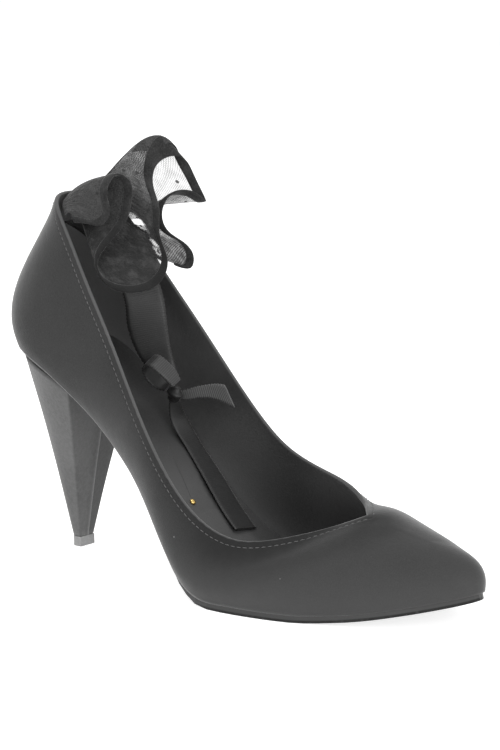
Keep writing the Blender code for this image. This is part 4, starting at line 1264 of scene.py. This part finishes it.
knot = piece("tie_knot", *knot_mesh, [grosgrain], None, {
    "along_mm": np.arctan2(knot_all[:, 1], knot_all[:, 0]) * 4.0, "across_mm": knot_all[:, 2],
    "light": np.zeros(len(knot_all)), "shade": np.full(len(knot_all), KNOT_SHADE),
})
on_root(knot, "grosgrain", "ribbon_knot")

# Placing of objects, in metres


def stand(made, right, up, back, spot):
    """Places an object at spot, in metres, with its three axes turned as given."""
    bpy.context.scene.collection.objects.link(made)
    matrix = np.eye(4)
    matrix[:3] = np.column_stack([right, up, back, spot])
    made.matrix_world = matrix.T.tolist()


# Camera at the photograph's angle

CAMERA_TURN = math.radians(41.0)
CAMERA_RISE = math.radians(10.6)
CAMERA_ROLL = math.radians(-0.58)
CAMERA_FAR = 899.82
CAMERA_AIM = (119.33, 0.0, 84.0)
PICTURE_HEIGHT = 750.0
FOCAL_PIXELS = 2293.52
SENSOR = 36.0

back = np.array([
    math.sin(CAMERA_TURN) * math.cos(CAMERA_RISE),
    -math.cos(CAMERA_TURN) * math.cos(CAMERA_RISE),
    math.sin(CAMERA_RISE),
])
right = np.array([math.cos(CAMERA_TURN), math.sin(CAMERA_TURN), 0.0])
up = np.cross(back, right)
rolled_right = math.cos(CAMERA_ROLL) * right + math.sin(CAMERA_ROLL) * up
rolled_up = math.cos(CAMERA_ROLL) * up - math.sin(CAMERA_ROLL) * right
lens = bpy.data.cameras.new("camera")
lens.sensor_fit = "VERTICAL"
lens.sensor_height = SENSOR
lens.lens = FOCAL_PIXELS * SENSOR / PICTURE_HEIGHT
lens.clip_start = 0.01
camera = bpy.data.objects.new("camera", lens)
stand(camera, rolled_right, rolled_up, back, (np.array(CAMERA_AIM) + CAMERA_FAR * back - ORIGIN) * MM)
bpy.context.scene.camera = camera


# Floor and light

FLOOR_HALF = 4000.0
floor_corners = FLOOR_HALF * np.array([(-1, -1, 0), (1, -1, 0), (1, 1, 0), (-1, 1, 0)])
floor = piece("floor", floor_corners, [[0, 1, 2, 3]], [floor_finish()])


def lamp(name, spot, aim, wide, power):
    """Large soft light at spot, in metres, turned to aim."""
    light = bpy.data.lights.new(name, "AREA")
    light.shape = "DISK"
    light.size = wide
    light.energy = power
    back_way = unit(np.array(spot) - np.array(aim))
    steep = abs(back_way[2]) >= 0.98
    side_way = unit(np.cross([0.0, 1.0, 0.0] if steep else UP, back_way))
    stand(bpy.data.objects.new(name, light), side_way, np.cross(back_way, side_way), back_way, spot)


lamp("light_top", (0.0, 0.1, 1.5), (0.0, 0.0, 0.05), 1.2, 8.0)
lamp("light_left", (-0.9, -0.9, 0.8), (0.0, 0.0, 0.07), 0.8, 1.5)
lamp("light_right", (1.2, -0.45, 0.45), (0.08, 0.0, 0.04), 0.8, 9.0)
world = bpy.data.worlds.new("studio")
world.use_nodes = True
backdrop = world.node_tree.nodes["Background"]
backdrop.inputs["Color"].default_value = grey(1.0)
backdrop.inputs["Strength"].default_value = 1.02
bpy.context.scene.world = world
bpy.context.scene.view_settings.view_transform = "Standard"
